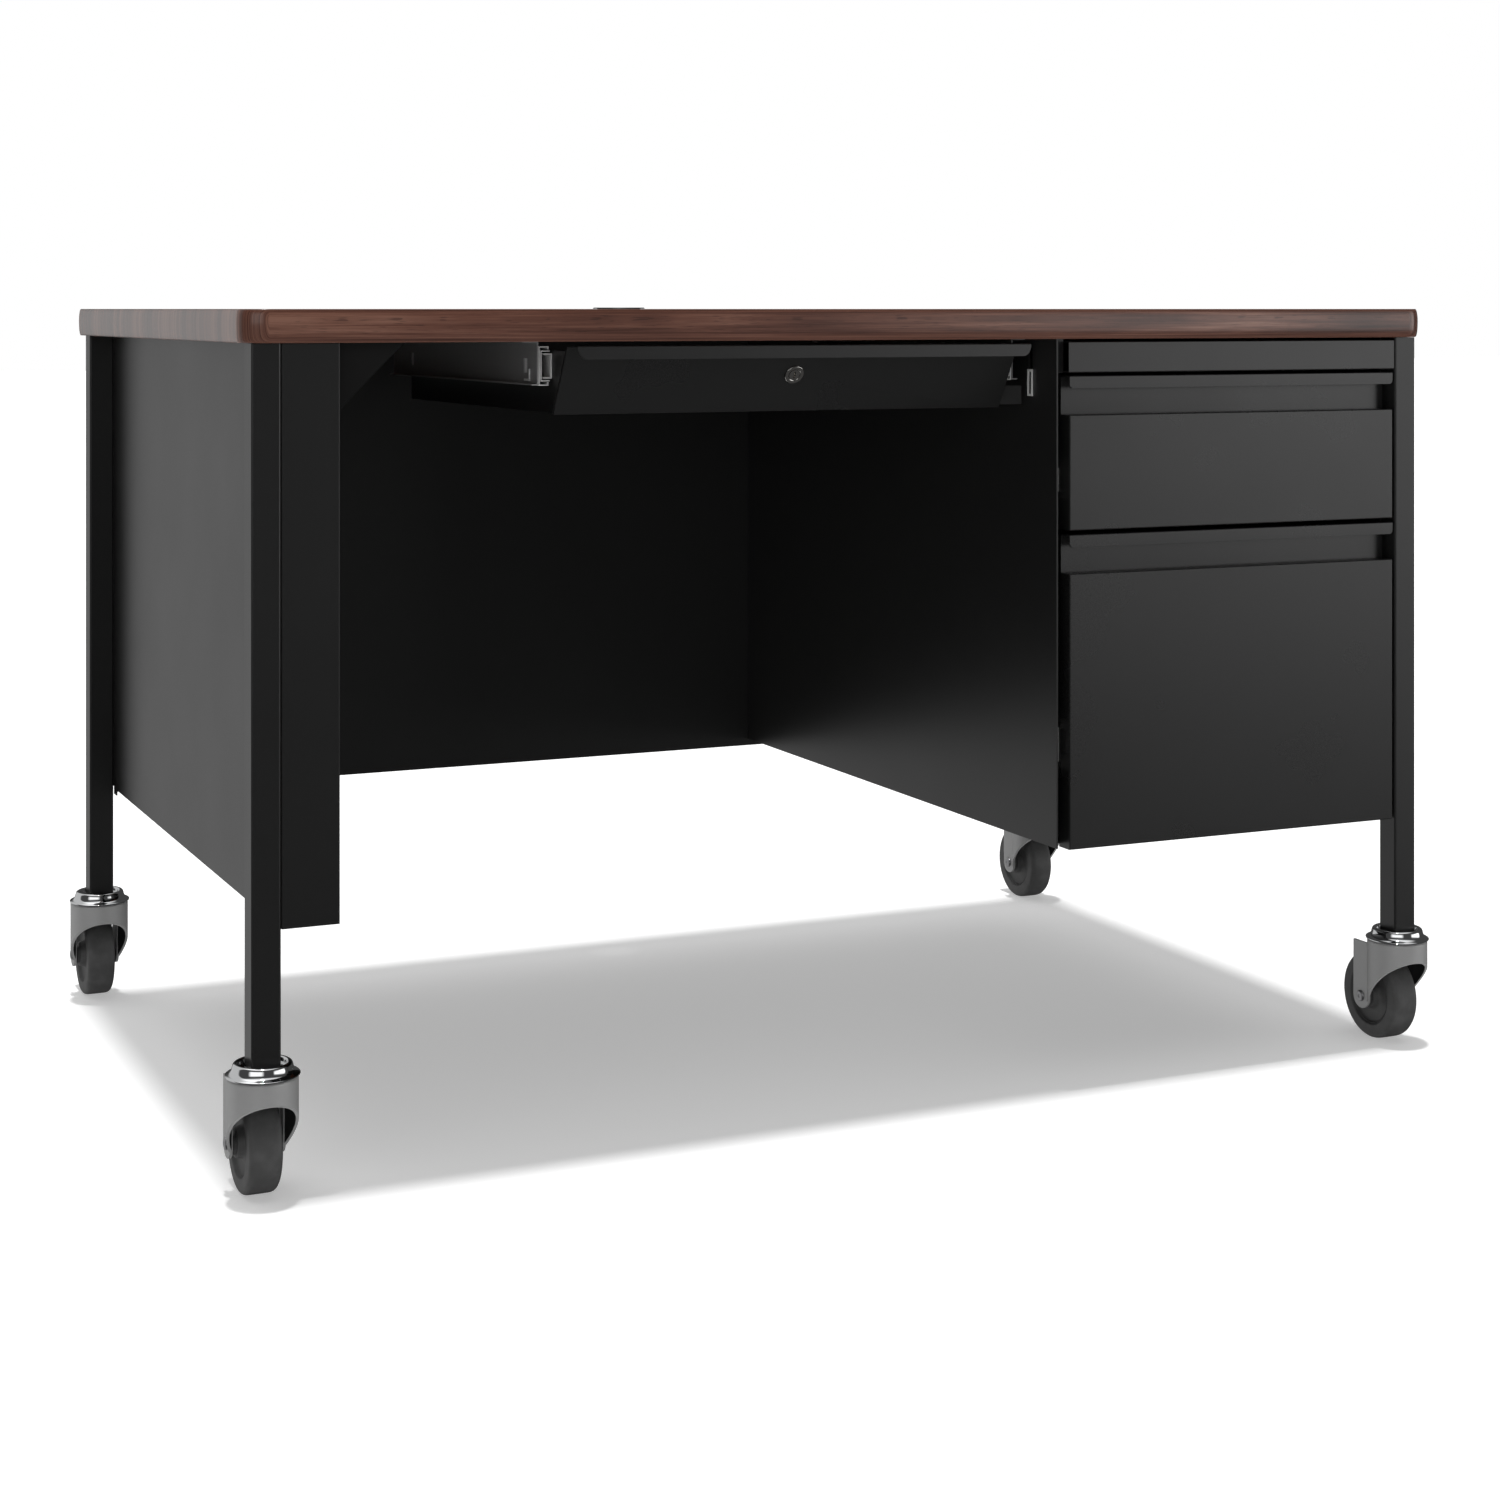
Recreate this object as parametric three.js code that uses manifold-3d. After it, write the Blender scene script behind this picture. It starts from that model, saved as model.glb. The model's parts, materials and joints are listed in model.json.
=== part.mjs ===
// Mobile single-pedestal steel desk: laminate top, tube legs on casters, one locking centre drawer
// under the top, and a pedestal with a box drawer and a file drawer.
// Millimetres, +Z up, +X to the sitter's right, +Y away from the sitter, floor at Z = 0.
// Inside the desk group Y = 0 is the front face of the front legs and X = 0 is the middle.

import * as THREE from 'three';
import { mergeVertices } from 'three/addons/utils/BufferGeometryUtils.js';
import Module from 'manifold-3d';

const wasm = await Module();
wasm.setup();

// ---------------------------------------------------------------- driving dimensions

// Clearances
const gap = 0.3; // between two pieces that touch
const runningGap = 0.4; // between a swivelling piece and what it turns under

// Desktop
const topWidth = 1219.2;
const topDepth = 762;
const topThickness = 28.5;
const topHeight = 749.3; // floor to the upper face
const topCornerRadius = 25;
const topCrown = 1.7; // how far the edge bulges over its thickness
const topCrownDepth = 12; // height of the crowned part above and below the middle
const topFrontOverhang = 7.2; // beyond the legs, at the front and at the back
const topSideOverhang = 9.5; // beyond the legs, at each end

// Cable grommet
const grommetX = 0;
const grommetSetback = 59.6; // from the rear legs' back faces to the grommet's middle
const grommetBore = 20;
const grommetWall = 2.5; // each of the sleeve's two steps
const grommetFlangeWidth = 5;
const grommetFlangeHeight = 1.4;
const grommetDepth = 24;
const grommetCapThickness = 2.6;
const cableSlotWidth = 14;
const cableSlotDepth = 12;

// Legs
const legSize = 25.4;
const legWall = 1.6;
const legCorner = 2;

// Panels
const panelGauge = 1.2;
const panelBend = 1; // outside corner of a bend
const endPanelBottom = 229.8;
const postWidth = 50.2; // front face of the left end panel
const postReturn = 20;
const rearReturn = 20;
const footTabDrop = 6;
const footTabLength = 14;
const innerPanelFlange = 20;
const gussetSize = 64;
const gussetGauge = 1.5;
const gussetFlange = 12;
const modestyBottom = 226.5;
const modestySetForward = 7.7; // ahead of the rear legs

// Pedestal
const pedestalWidth = 397.6;
const pedestalGauge = 1.6;
const pedestalRise = 2.5; // its bottom edge above the file drawer front's
const pedestalRearFlange = 20;
const panFlange = 12;
const frontSetback = 2; // the right end panel and the bottom pan start this far behind the fronts
const frontPastBody = 0.2; // drawer fronts past the drawer bodies, at the left
const frontRightGap = 3; // drawer fronts to the right leg
const fillerTopGap = 2.7; // filler to the desktop
const fillerHeight = 29.8;
const fillerReturn = 15;
const fillerLeftReveal = 1; // how far the filler reaches past the fronts, left
const fillerRightReveal = 1.8; // and right
const fillerTabSetback = 10;

// Drawer fronts of the pedestal, each one folded sheet with a full-width lip pull
const frontGauge = 1.2;
const frontGapTop = 3; // filler to the box drawer front
const frontGapBetween = 4.1;
const boxFrontHeight = 148.1;
const fileFrontHeight = 301.2;
const pullHeight = 37.5; // top of the main face to the top of the lip
const pullDepth = 16.4;
const lipDrop = 12;
const frontReturnRear = 2.4; // side returns, behind the recess sheet
const frontBottomReturn = 14;

// Drawer bodies of the pedestal
const drawerGauge = 1;
const drawerRearClearance = 94.2; // drawer back to the modesty panel
const boxDrawerRise = 3.8; // its floor above its front's bottom edge
const fileDrawerRise = 11.1;
const drawerWallDrop = 10; // its wall below the front's main face

// Ball-bearing slides
const slideThickness = 12.7;
const slideGauge = 1.2;
const lightSlideHeight = 35.5;
const heavySlideHeight = 45.7;
const outerMemberDepth = 9.6;
const outerMemberLip = 3.2;
const midMemberStart = 1.8; // from the cabinet's side
const midMemberEnd = 10.8;
const midMemberInset = 3.85; // smaller than the outer member, above and below
const innerMemberStart = 4.2;
const innerMemberInset = 6.45;
const slideRearSetback = 40.6; // shorter than the drawer body
const boxSlideRise = 44; // slide's middle above the drawer's floor
const fileSlideRise = 87;

// Centre drawer
const centerSideClearance = 16.8; // right slide to the pedestal
const centerFrontWidth = 458.1;
const centerTrayWidth = 460;
const centerFrontHeight = 62.3;
const centerTopGap = 4.2; // lip to the desktop
const centerLipFront = -5;
const centerLipDrop = 11.8;
const slopeTopY = 20.2;
const slopeBottomY = 57;
const centerBottomReturn = 12;
const trayLength = 425.7;
const trayWallDrop = 3.4; // tray's side walls below the front's top
const trayBackDrop = 15.4;
const centerSlideDrop = 4.8; // slides below the desktop

// Hangers that carry the centre slides
const hangerGauge = 1.2;
const hangerPastSlide = 14.3;
const hangerRise = 0.4; // its flange above the slide's bottom edge
const hangerTopFlange = 14;
const hangerBottomFlange = 5;
const hangerSlotWidth = 10;
const hangerSlotHeight = 13;
const hangerFrontSlot = 31; // from the hanger's front end to the slot's middle
const hangerRearSlot = 64; // from its rear end

// Lock
const lockRise = 34.7; // lock's middle above the front's bottom edge
const lockFlangeWidth = 1.5;
const lockBarrelWall = 2.2;
const lockProud = 2;
const lockPlugRadius = 5.5;
const lockBarrelLength = 20;
const lockPlugPast = 2; // plug's rear end behind the barrel
const lockPlugRecess = 0.4;
const keySlotWidth = 1.4;
const keySlotHeight = 7;
const keySlotDepth = 3;
const camLength = 16;
const camWidth = 9;
const camGauge = 1.6;

// Latch between the centre drawer and the pedestal
const latchWidth = 24.2;
const latchLength = 40;
const latchGauge = 1.5;
const latchDrop = 5.5; // below the slide
const latchHeight = 18;
const strikeAhead = 15.5; // strike's front edge ahead of the latch
const strikeWidth = 12.5;
const strikeRise = 10.7; // above the drawer front's bottom edge
const strikeHeight = 26;
const strikeBorder = 4;
const strikeGauge = 1.6;
const lockSlotPast = 23; // the slot in the pedestal runs on above the strike

// Casters
const capSocketClearance = 1.54; // round the corners of the leg
const capBeadWidth = 5.5;
const capFlangeWidth = 6.5;
const capFlangeHeight = 1.6;
const capHeight = 11;
const capSocketDepth = 4;
const stemRadius = 5.5;
const stemLength = 36;
const kingPinHead = 9;
const kingPinHeadHeight = 3;
const wheelHeadroom = 19; // wheel to the underside of the cap
const hoodInset = 1.5; // hood inside the cap's flange
const hoodWall = 2.5;
const hoodDrop = 4; // hood's bottom edge below the axle
const hoodRear = 17; // end of the skirt, behind the swivel axis
const hoodBrow = 19; // hood's front edge below the cap, where its 45 degree cut starts
const earInset = 6; // outer face of a fork ear inside the hood's
const earWidth = 25;
const earDrop = 7; // ear's top below the cap
const wheelRadius = 44;
const wheelWidth = 29;
const wheelShoulder = 5;
const wheelGroove = 29;
const hubRadius = 13;
const hubPlay = 1; // hub to each ear
const axleRadius = 4;
const axleHead = 5.5;
const axleHeadHeight = 2;
const casterTrail = 28;

// Facets of round pieces
const fineFacets = 24;
const coarseFacets = 16;
const cornerFacets = 6;

// ---------------------------------------------------------------- places worked out from them

const topUnderside = topHeight - topThickness;
const underTop = topUnderside - gap; // highest point of whatever meets the underside
const capBottom = 2 * wheelRadius + wheelHeadroom;
const capTop = capBottom + capHeight;
const legFoot = capTop - capSocketDepth + gap;
const capSocketRadius = legSize / Math.SQRT2 + capSocketClearance;
const capBeadRadius = capSocketRadius + capBeadWidth;
const capFlangeRadius = capBeadRadius + capFlangeWidth;
const hoodRadius = capFlangeRadius - hoodInset;
const earFace = hoodRadius - earInset;
const legOuterX = topWidth / 2 - topSideOverhang;
const legInnerX = legOuterX - legSize;
const rearLegBack = topDepth - 2 * topFrontOverhang;
const rearLegFront = rearLegBack - legSize;
const endFaceX = legInnerX - gap; // outer face of both end panels
const panelRear = rearLegFront - gap;
const modestyFront = rearLegFront - modestySetForward;
const postInnerX = endFaceX - postWidth;
const innerPanelX = postInnerX + panelGauge + gap;
const pedestalLeft = endFaceX - pedestalWidth;
const pedestalInnerLeft = pedestalLeft + pedestalGauge;
const pedestalInnerRight = endFaceX - panelGauge;
const drawerLeft = pedestalInnerLeft + slideThickness + 2 * gap;
const frontLeft = drawerLeft - frontPastBody;
const frontRight = legInnerX - frontRightGap;
const drawerRight = pedestalInnerRight - slideThickness - 2 * gap;
const frontReturn = pullDepth + frontGauge + frontReturnRear;
const panelFront = frontReturn + frontSetback;
const drawerFrontY = frontReturn + gap;
const drawerLength = modestyFront - drawerRearClearance - drawerFrontY;
const pedestalSlideLength = drawerLength - slideRearSetback;
const fillerTop = topUnderside - fillerTopGap;
const fillerBottom = fillerTop - fillerHeight;
const boxFrontTop = fillerBottom - frontGapTop;
const boxFrontBottom = boxFrontTop - boxFrontHeight;
const fileFrontTop = boxFrontBottom - frontGapBetween;
const fileFrontBottom = fileFrontTop - fileFrontHeight;
const pedestalBottom = fileFrontBottom + pedestalRise;
const centerSlideOffset = centerTrayWidth / 2 + slideThickness + gap;
const centerDrawerX = pedestalLeft - centerSideClearance - centerSlideOffset;
const centerLipTop = topUnderside - centerTopGap;
const centerFrontTop = centerLipTop - frontGauge;
const centerFrontBottom = centerLipTop - centerFrontHeight;
const trayBottom = centerFrontBottom + frontGauge + gap;
const trayRear = slopeBottomY + trayLength;
const centerSlideBottom = topUnderside - centerSlideDrop - lightSlideHeight;
const centerSlideZ = centerSlideBottom + lightSlideHeight / 2;
const lockZ = centerFrontBottom + lockRise;
const strikeBottom = centerFrontBottom + strikeRise;
const strikeTop = strikeBottom + strikeHeight;
const strikeFront = slopeBottomY - strikeAhead;
const strikeBack = strikeFront + strikeWidth;
const slopeAngle = Math.atan2(slopeBottomY - slopeTopY, centerFrontTop - centerFrontBottom);
const casterX = legOuterX - legSize / 2;
const frontCasterY = legSize / 2;
const rearCasterY = rearLegBack - legSize / 2;
const foremost = Math.min(frontCasterY - capFlangeRadius, -topFrontOverhang);
const rearmost = Math.max(rearCasterY + casterTrail + wheelRadius, topDepth - topFrontOverhang);
const originY = (foremost + rearmost) / 2;

// Depth of the sloped drawer front at a height
function slopeY(z) {
  const share = (z - centerFrontBottom) / (centerFrontTop - centerFrontBottom);
  return slopeBottomY + (slopeTopY - slopeBottomY) * share;
}

// ---------------------------------------------------------------- solids

const desk = new THREE.Group();

function toSolid(geometry) {
  const bare = geometry.clone();
  bare.deleteAttribute('normal');
  bare.deleteAttribute('uv');
  const merged = mergeVertices(bare, 1e-4);
  const index = merged.getIndex().array;
  const kept = [];
  for (let i = 0; i < index.length; i += 3) {
    const [a, b, c] = [index[i], index[i + 1], index[i + 2]];
    if (a !== b && b !== c && c !== a) {
      kept.push(a, b, c);
    }
  }
  const vertProperties = new Float32Array(merged.getAttribute('position').array);
  const triVerts = new Uint32Array(kept);
  return new wasm.Manifold(new wasm.Mesh({ numProp: 3, vertProperties, triVerts }));
}

function toGeometry(solid) {
  const mesh = solid.getMesh();
  const geometry = new THREE.BufferGeometry();
  geometry.setAttribute('position', new THREE.BufferAttribute(mesh.vertProperties, 3));
  geometry.setIndex(new THREE.BufferAttribute(mesh.triVerts, 1));
  geometry.computeVertexNormals();
  return geometry;
}

function join(...solids) {
  return solids.reduce((whole, next) => whole.add(next));
}

function cut(solid, ...tools) {
  return tools.reduce((whole, next) => whole.subtract(next), solid);
}

function outlineShape(points) {
  if (points instanceof THREE.Shape) {
    return points;
  }
  return new THREE.Shape(points.map(([u, v]) => new THREE.Vector2(u, v)));
}

function extruded(points, depth, options = {}) {
  const settings = { depth, bevelEnabled: false, curveSegments: cornerFacets, ...options };
  return new THREE.ExtrudeGeometry(outlineShape(points), settings);
}

// An outline of [y, z] points pushed along X
function alongX(points, x0, x1) {
  const geometry = extruded(points, x1 - x0);
  const axes = new THREE.Matrix4().makeBasis(
    new THREE.Vector3(0, 1, 0),
    new THREE.Vector3(0, 0, 1),
    new THREE.Vector3(1, 0, 0),
  );
  geometry.applyMatrix4(axes);
  geometry.translate(x0, 0, 0);
  return toSolid(geometry);
}

// An outline of [x, z] points pushed along Y
function alongY(points, y0, y1) {
  const geometry = extruded(points, y1 - y0);
  geometry.rotateX(Math.PI / 2);
  geometry.translate(0, y1, 0);
  return toSolid(geometry);
}

// An outline of [x, y] points pushed along Z
function alongZ(points, z0, z1) {
  const geometry = extruded(points, z1 - z0);
  geometry.translate(0, 0, z0);
  return toSolid(geometry);
}

function block(x0, x1, y0, y1, z0, z1) {
  const geometry = new THREE.BoxGeometry(x1 - x0, y1 - y0, z1 - z0);
  geometry.translate((x0 + x1) / 2, (y0 + y1) / 2, (z0 + z1) / 2);
  return toSolid(geometry);
}

// A profile of [radius, height] points, anticlockwise, turned about Z
function turned(profile, facets, halfFacet = false) {
  const points = profile.map(([radius, height]) => new THREE.Vector2(radius, height));
  if (profile[0][0] > 0) {
    points.push(points[0].clone());
  }
  const start = halfFacet ? Math.PI / facets : 0;
  const geometry = new THREE.LatheGeometry(points, facets, start);
  geometry.rotateX(Math.PI / 2);
  return geometry;
}

// The same, turned about X
function turnedAboutX(profile, facets, halfFacet = false) {
  const geometry = turned(profile, facets, halfFacet);
  geometry.rotateY(Math.PI / 2);
  return geometry;
}

// The outline of a folded sheet: the side given by points, and the other side at the gauge,
// on the right of the way that the points go
function foldedSheet(points, gauge) {
  const corners = points.map(([u, v]) => new THREE.Vector2(u, v));
  const normals = [];
  for (let i = 0; i + 1 < corners.length; i += 1) {
    const along = corners[i + 1].clone().sub(corners[i]).normalize();
    normals.push(new THREE.Vector2(along.y, -along.x));
  }
  const otherSide = corners.map((corner, i) => {
    const before = normals[Math.max(i - 1, 0)];
    const after = normals[Math.min(i, normals.length - 1)];
    const mitre = before.clone().add(after);
    mitre.multiplyScalar(gauge / (1 + before.dot(after)));
    return corner.clone().add(mitre);
  });
  return new THREE.Shape([...corners, ...otherSide.reverse()]);
}

function roundedRectangle(x0, x1, y0, y1, radius) {
  const shape = new THREE.Shape();
  shape.moveTo(x0 + radius, y0);
  shape.lineTo(x1 - radius, y0);
  shape.absarc(x1 - radius, y0 + radius, radius, -Math.PI / 2, 0, false);
  shape.lineTo(x1, y1 - radius);
  shape.absarc(x1 - radius, y1 - radius, radius, 0, Math.PI / 2, false);
  shape.lineTo(x0 + radius, y1);
  shape.absarc(x0 + radius, y1 - radius, radius, Math.PI / 2, Math.PI, false);
  shape.lineTo(x0, y0 + radius);
  shape.absarc(x0 + radius, y0 + radius, radius, Math.PI, 1.5 * Math.PI, false);
  return shape;
}

function blackPaint() {
  return new THREE.MeshStandardMaterial({ color: 0x17181a, roughness: 0.45, metalness: 0.2 });
}

function walnut() {
  return new THREE.MeshStandardMaterial({ color: 0x5b3323, roughness: 0.4, metalness: 0 });
}

function zinc() {
  return new THREE.MeshStandardMaterial({ color: 0xb9bcc0, roughness: 0.3, metalness: 1 });
}

function nickel() {
  return new THREE.MeshStandardMaterial({ color: 0xc9c4ba, roughness: 0.25, metalness: 1 });
}

function chrome() {
  return new THREE.MeshStandardMaterial({ color: 0xdddfe2, roughness: 0.08, metalness: 1 });
}

function greyPaint() {
  return new THREE.MeshStandardMaterial({ color: 0x8f9194, roughness: 0.35, metalness: 0.6 });
}

function rubber() {
  return new THREE.MeshStandardMaterial({ color: 0x35363a, roughness: 0.7, metalness: 0 });
}

function blackPlastic() {
  return new THREE.MeshStandardMaterial({ color: 0x121213, roughness: 0.5, metalness: 0 });
}

function addPart(name, solid, material, place = desk) {
  const geometry = solid.isBufferGeometry ? toGeometry(toSolid(solid)) : toGeometry(solid);
  const mesh = new THREE.Mesh(geometry, material);
  mesh.name = name;
  place.add(mesh);
}

// ---------------------------------------------------------------- desktop and grommet

const grommetY = rearLegBack - grommetSetback;
const grommetSeatRadius = grommetBore + grommetWall;
const grommetSleeveRadius = grommetSeatRadius + grommetWall;

function desktop() {
  const outline = roundedRectangle(
    -topWidth / 2,
    topWidth / 2,
    -topFrontOverhang,
    topDepth - topFrontOverhang,
    topCornerRadius,
  );
  const slab = extruded(outline, topThickness - 2 * topCrownDepth, {
    bevelEnabled: true,
    bevelThickness: topCrownDepth,
    bevelSize: topCrown,
    bevelOffset: -topCrown,
    bevelSegments: 3,
  });
  slab.translate(0, 0, topUnderside + topCrownDepth);
  const hole = new THREE.CylinderGeometry(
    grommetSleeveRadius + gap,
    grommetSleeveRadius + gap,
    2 * topThickness,
    fineFacets,
  );
  hole.rotateX(Math.PI / 2);
  hole.translate(grommetX, grommetY, topHeight - topThickness / 2);
  addPart('desktop', cut(toSolid(slab), toSolid(hole)), walnut());
}

function grommet() {
  const place = new THREE.Group();
  place.position.set(grommetX, grommetY, topHeight);
  desk.add(place);
  const flangeTop = gap + grommetFlangeHeight;
  const seat = flangeTop - grommetCapThickness - gap;
  const sleeve = [
    [grommetBore, -grommetDepth],
    [grommetSleeveRadius, -grommetDepth],
    [grommetSleeveRadius, gap],
    [grommetSleeveRadius + grommetFlangeWidth, gap],
    [grommetSleeveRadius + grommetFlangeWidth - 1, flangeTop],
    [grommetSeatRadius, flangeTop],
    [grommetSeatRadius, seat],
    [grommetBore, seat],
  ];
  addPart('grommet_sleeve', turned(sleeve, fineFacets), blackPlastic(), place);
  const capRadius = grommetSeatRadius - gap;
  const capBase = seat + gap;
  const disc = toSolid(turned([
    [0, capBase],
    [capRadius, capBase],
    [capRadius, flangeTop],
    [0, flangeTop],
  ], fineFacets));
  const slot = block(
    -cableSlotWidth / 2,
    cableSlotWidth / 2,
    capRadius - cableSlotDepth,
    capRadius + 1,
    seat,
    flangeTop + 1,
  );
  addPart('grommet_cap', cut(disc, slot), blackPlastic(), place);
}

// ---------------------------------------------------------------- frame and panels

function legs() {
  const wall = legSize / 2 - legWall;
  const places = [
    ['front_left', -casterX, frontCasterY],
    ['front_right', casterX, frontCasterY],
    ['rear_left', -casterX, rearCasterY],
    ['rear_right', casterX, rearCasterY],
  ];
  for (const [corner, x, y] of places) {
    const half = legSize / 2;
    const outline = roundedRectangle(x - half, x + half, y - half, y + half, legCorner);
    const bore = block(x - wall, x + wall, y - wall, y + wall, legFoot - 1, underTop + 1);
    addPart(`leg_${corner}`, cut(alongZ(outline, legFoot, underTop), bore), blackPaint());
  }
}

function leftEnd() {
  const skin = foldedSheet([
    [-postInnerX, postReturn],
    [-postInnerX, 0],
    [-endFaceX + panelBend, 0],
    [-endFaceX, panelBend],
    [-endFaceX, panelRear],
    [-endFaceX + rearReturn, panelRear],
  ], panelGauge);
  const footTab = block(
    -endFaceX,
    -endFaceX + panelGauge,
    panelRear - footTabLength,
    panelRear,
    endPanelBottom - footTabDrop,
    endPanelBottom + footTabDrop,
  );
  const panel = join(alongZ(skin, endPanelBottom, underTop), footTab);
  addPart('left_end_panel', panel, blackPaint());

  const inner = foldedSheet([
    [-innerPanelX - innerPanelFlange, endPanelBottom],
    [-innerPanelX, endPanelBottom],
    [-innerPanelX, underTop],
  ].reverse(), panelGauge);
  const innerFront = panelGauge + gap;
  const innerPanel = alongY(inner, innerFront, modestyFront - gap);
  addPart('left_end_inner_panel', innerPanel, blackPaint());
}

function gusset() {
  const left = -innerPanelX + gap;
  const front = postReturn + 1;
  const triangle = [
    [left, underTop - gussetSize],
    [left + gussetSize, underTop],
    [left, underTop],
  ];
  const plate = alongY(triangle, front, front + gussetGauge);
  const flange = block(
    left,
    left + gussetSize - 2 * gussetGauge,
    front,
    front + gussetFlange,
    underTop - gussetGauge,
    underTop,
  );
  addPart('corner_gusset', join(plate, flange), blackPaint());
}

function modestyPanel() {
  const back = panelRear - panelGauge - gap;
  const section = foldedSheet([
    [back, modestyBottom],
    [modestyFront, modestyBottom],
    [modestyFront, underTop],
    [back, underTop],
  ], panelGauge);
  const side = endFaceX - panelGauge - gap;
  addPart('modesty_panel', alongX(section, -side, side), blackPaint());
}

// ---------------------------------------------------------------- pedestal

function pedestal() {
  const back = modestyFront - gap;
  const plan = foldedSheet([
    [pedestalLeft, 0],
    [pedestalLeft, back],
    [pedestalLeft + pedestalRearFlange, back],
  ], pedestalGauge);
  const fillerTab = block(
    pedestalLeft,
    frontLeft - fillerLeftReveal - gap,
    fillerTabSetback,
    fillerTabSetback + pedestalGauge,
    fillerBottom,
    underTop,
  );
  const lockSlot = block(
    pedestalLeft - 1,
    pedestalInnerLeft + 1,
    strikeFront + strikeBorder,
    strikeBack - strikeBorder / 2,
    strikeBottom + strikeBorder,
    strikeTop + lockSlotPast,
  );
  const side = cut(join(alongZ(plan, pedestalBottom, underTop), fillerTab), lockSlot);
  addPart('pedestal_left_side', side, blackPaint());

  const rightPlan = foldedSheet([
    [endFaceX - rearReturn, panelRear],
    [endFaceX, panelRear],
    [endFaceX, panelFront],
  ], panelGauge);
  addPart('right_end_panel', alongZ(rightPlan, endPanelBottom, underTop), blackPaint());

  const panBack = back - pedestalGauge - gap;
  const pan = foldedSheet([
    [panBack, pedestalBottom + panFlange],
    [panBack, pedestalBottom],
    [panelFront, pedestalBottom],
  ], panelGauge);
  const panSides = [pedestalInnerLeft + gap, pedestalInnerRight - gap];
  addPart('pedestal_bottom_pan', alongX(pan, ...panSides), blackPaint());

  const filler = foldedSheet([
    [fillerReturn, fillerBottom],
    [0, fillerBottom],
    [0, fillerTop],
    [fillerReturn, fillerTop],
  ], panelGauge);
  const fillerSides = [frontLeft - fillerLeftReveal, frontRight + fillerRightReveal];
  addPart('filler_panel', alongX(filler, ...fillerSides), blackPaint());
}

// One folded sheet: main face, ledge, recess for the fingers, and a lip folded forward and down
function pullFront(bottom, top) {
  const mainTop = top - pullHeight;
  const sheet = foldedSheet([
    [frontBottomReturn, bottom],
    [0, bottom],
    [0, mainTop],
    [pullDepth, mainTop],
    [pullDepth, top - frontGauge],
    [frontGauge, top - frontGauge],
    [frontGauge, top - lipDrop],
  ], frontGauge);
  const sideReturn = [
    [0, bottom],
    [frontReturn, bottom],
    [frontReturn, top],
    [pullDepth, top],
    [pullDepth, mainTop],
    [0, mainTop],
  ];
  return join(
    alongX(sheet, frontLeft, frontRight),
    alongX(sideReturn, frontLeft, frontLeft + frontGauge),
    alongX(sideReturn, frontRight - frontGauge, frontRight),
  );
}

function drawerBody(bottom, top) {
  const back = drawerFrontY + drawerLength;
  const inner = block(
    drawerLeft + drawerGauge,
    drawerRight - drawerGauge,
    drawerFrontY + drawerGauge,
    back - drawerGauge,
    bottom + drawerGauge,
    top + 1,
  );
  return cut(block(drawerLeft, drawerRight, drawerFrontY, back, bottom, top), inner);
}

// The sections of a slide's members, from the cabinet's side (across = 0) to the drawer's side
const slideMembers = {
  outer: (half) => [
    [outerMemberDepth, outerMemberLip - half],
    [outerMemberDepth, -half],
    [0, -half],
    [0, half],
    [outerMemberDepth, half],
    [outerMemberDepth, half - outerMemberLip],
  ],
  mid: (half) => [
    [midMemberEnd, midMemberInset - half],
    [midMemberStart, midMemberInset - half],
    [midMemberStart, half - midMemberInset],
    [midMemberEnd, half - midMemberInset],
  ],
  inner: (half) => [
    [innerMemberStart, half - innerMemberInset],
    [slideThickness, half - innerMemberInset],
    [slideThickness, innerMemberInset - half],
    [innerMemberStart, innerMemberInset - half],
  ],
};

// cabinetX is the member's mounting face and side is +1 where the drawer is to its right
function slide(name, members, cabinetX, side, z, height, front, length) {
  for (const member of members) {
    const section = slideMembers[member](height / 2);
    const outline = foldedSheet(section, slideGauge);
    const geometry = extruded(outline, length);
    geometry.rotateX(Math.PI / 2);
    geometry.translate(0, length, 0);
    if (side < 0) {
      geometry.rotateZ(Math.PI);
      geometry.translate(0, length, 0);
    }
    geometry.translate(cabinetX, front, z);
    addPart(`${name}_${member}`, geometry, zinc());
  }
}

function pedestalDrawers() {
  addPart('box_drawer_front', pullFront(boxFrontBottom, boxFrontTop), blackPaint());
  addPart('file_drawer_front', pullFront(fileFrontBottom, fileFrontTop), blackPaint());
  const boxFloor = boxFrontBottom + boxDrawerRise;
  const fileFloor = fileFrontBottom + fileDrawerRise;
  const wallDrop = pullHeight + drawerWallDrop;
  addPart('box_drawer_body', drawerBody(boxFloor, boxFrontTop - wallDrop), blackPaint());
  addPart('file_drawer_body', drawerBody(fileFloor, fileFrontTop - wallDrop), blackPaint());
  const sides = [
    ['left', pedestalInnerLeft + gap, 1],
    ['right', pedestalInnerRight - gap, -1],
  ];
  const front = drawerFrontY + gap;
  const [length, light, heavy] = [pedestalSlideLength, lightSlideHeight, heavySlideHeight];
  for (const [hand, x, side] of sides) {
    const [boxZ, fileZ] = [boxFloor + boxSlideRise, fileFloor + fileSlideRise];
    slide(`box_slide_${hand}`, ['outer', 'inner'], x, side, boxZ, light, front, length);
    slide(`file_slide_${hand}`, ['outer', 'mid', 'inner'], x, side, fileZ, heavy, front, length);
  }
}

// ---------------------------------------------------------------- centre drawer

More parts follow.
